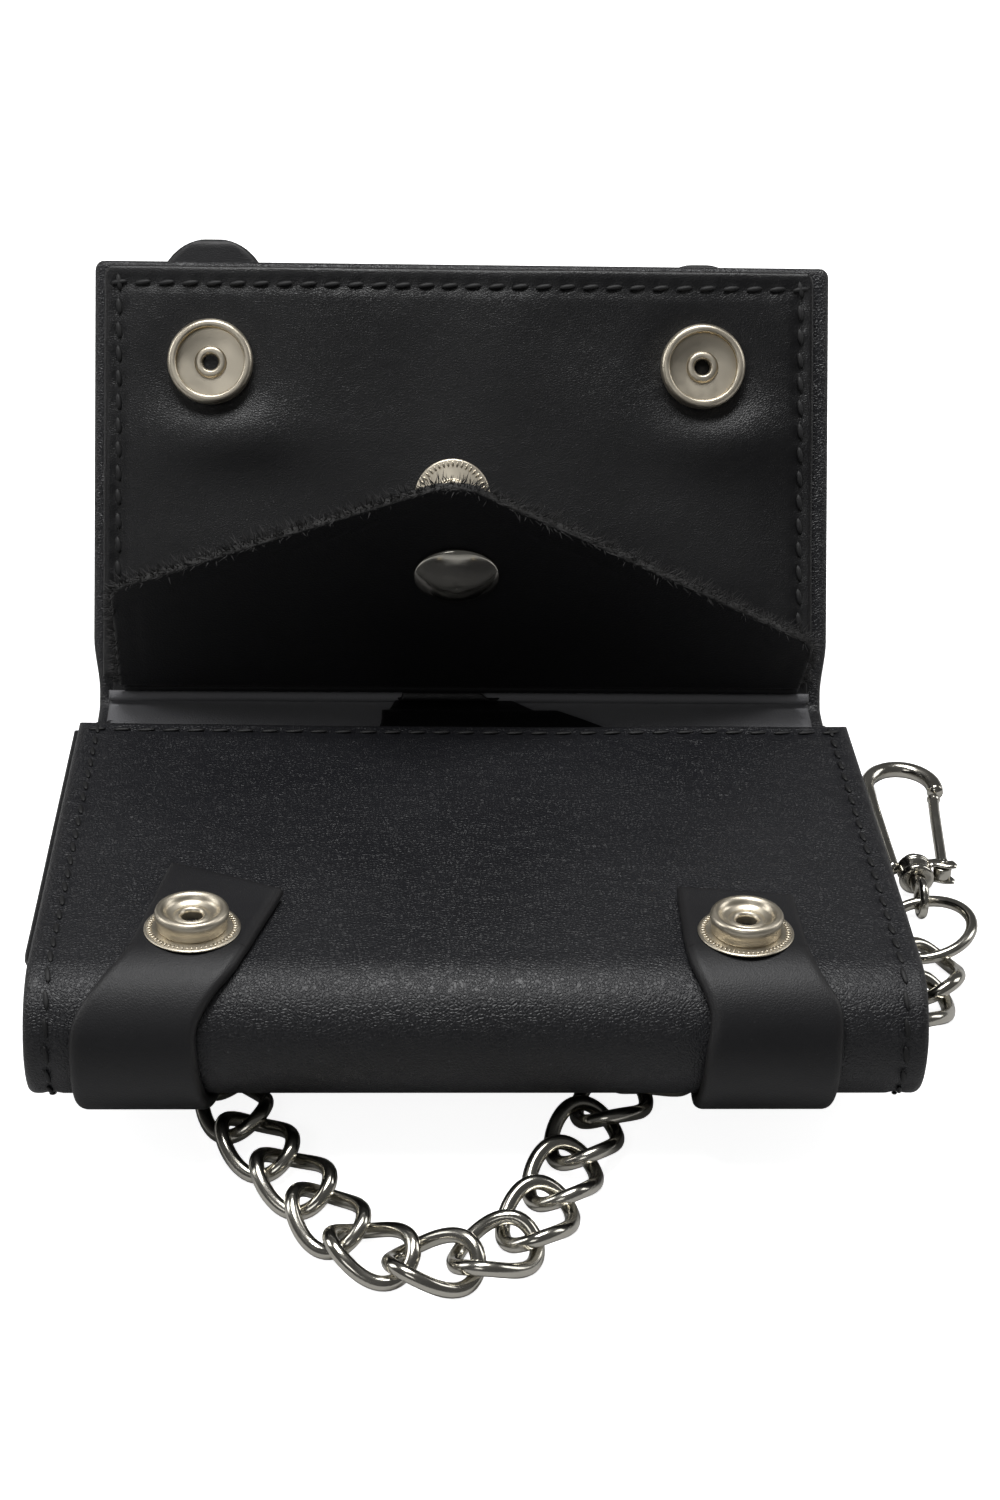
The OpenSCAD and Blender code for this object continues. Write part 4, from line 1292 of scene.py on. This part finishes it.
def tabPoint(u, t, n):
    # t runs up the loop from its front, over and along under the panel
    r = tab["inner"] + n
    a = math.radians(110) - t / 2
    if a > math.radians(-95):
        return Vector((tab["x"] + r * math.cos(a), tab["y"] + u, tab["z"] + r * math.sin(a)))
    return Vector((tab["x"], tab["y"] + u, tab["z"] - r))


tabLoop = leatherSheet("tabLoop", "back", strapLeather, tabPoint, -tab["width"] / 2, tab["width"] / 2, 0,
                       12.2, 0.42,
                       step=0.5, outer=0.43, openEnds=(True, True))
tabPlate = leatherSheet("tabPlate", "back", strapLeather, backPoint, tab["x"], tab["x"] + 7.5, 28.5, 35, 1.9,
                        step=0.6, outer=6.55)
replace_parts(tabPlate, "chain_tab")
nodes["tab_rivet"].data.materials.clear()
nodes["tab_rivet"].data.materials.append(nickel)
print("hook made")

# ---- floor, light and camera ----

studio = {"floor": 6.0, "floorColor": (0.93, 0.93, 0.93), "bounceColor": (0.5, 0.5, 0.5),
          "glow": 0.9, "sky": 0.085}
bpy.ops.mesh.primitive_plane_add(size=studio["floor"], location=(0, 0, 0))
floor = bpy.context.object
floor.name = "floor"
floorMaterial, floorTree, floorShader = newMaterial("paper")
makeFloor = nodeMaker(floorTree)
seen = makeFloor("ShaderNodeLightPath").outputs["Is Camera Ray"]
floorTint = mixColor(makeFloor, seen, (*studio["bounceColor"], 1), (*studio["floorColor"], 1))
floorGlow = mixColor(makeFloor, seen, (0, 0, 0, 1), (1, 1, 1, 1))
floorTree.links.new(floorTint, floorShader.inputs["Base Color"])
floorTree.links.new(floorGlow, floorShader.inputs["Emission Color"])
floorShader.inputs["Roughness"].default_value = 0.85
floorShader.inputs["Emission Strength"].default_value = studio["glow"]
floor.data.materials.append(floorMaterial)

world = bpy.data.worlds.new("room")
bpy.context.scene.world = world
world.use_nodes = True
world.node_tree.nodes["Background"].inputs["Color"].default_value = (1, 1, 1, 1)
world.node_tree.nodes["Background"].inputs["Strength"].default_value = studio["sky"]

lights = {
    "topSoftbox": {"at": (-0.03, 0.04, 0.66), "aim": (0, 0, 0.02), "size": (0.42, 0.22), "power": 3.6},
    "frontCard": {"at": (-0.25, -0.62, 0.5), "aim": (0, 0, 0.03), "size": (0.3, 0.2), "power": 0.36},
    "leftCard": {"at": (-0.6, 0.1, 0.35), "aim": (0, 0, 0.03), "size": (0.25, 0.4), "power": 1.1},
    "rightCard": {"at": (0.6, 0.15, 0.35), "aim": (0, 0, 0.03), "size": (0.25, 0.4), "power": 0.9},
}
for name, light in lights.items():
    data = bpy.data.lights.new(name, "AREA")
    data.shape = "RECTANGLE"
    data.size, data.size_y = light["size"]
    data.energy = light["power"]
    lamp = bpy.data.objects.new(name, data)
    lamp.location = light["at"]
    lamp.rotation_euler = (Vector(light["aim"]) - Vector(light["at"])).to_track_quat("-Z", "Y").to_euler()
    bpy.context.scene.collection.objects.link(lamp)

view = {"lens": 67.396, "pitch": 0.5901, "yaw": 0.0497, "roll": -0.0323,
        "offset": (-4.3122, -29.2139, 383.0992)}
cp, sp = math.cos(view["pitch"]), math.sin(view["pitch"])
unroll = Matrix.Rotation(view["yaw"], 3, "Z").transposed()
right, ahead, up = Vector((1, 0, 0)), Vector((0, cp, -sp)), Vector((0, sp, cp))
cr, sr = math.cos(view["roll"]), math.sin(view["roll"])
axisX = unroll @ (right * cr - up * sr)
axisY = unroll @ (right * sr + up * cr)
axisZ = unroll @ ahead
place = -(axisX * view["offset"][0] + axisY * view["offset"][1] + axisZ * view["offset"][2])
camera = bpy.data.objects.new("camera", bpy.data.cameras.new("camera"))
camera.data.sensor_width = 36
camera.data.lens = view["lens"]
camera.data.clip_start = 0.01
camera.data.clip_end = 20
cameraMatrix = Matrix((axisX, axisY, -axisZ)).transposed().to_4x4()
cameraMatrix.translation = toFrame(place)
camera.matrix_world = cameraMatrix
bpy.context.scene.collection.objects.link(camera)
bpy.context.scene.camera = camera
bpy.context.scene.view_settings.view_transform = "Standard"
print("camera and lights set")
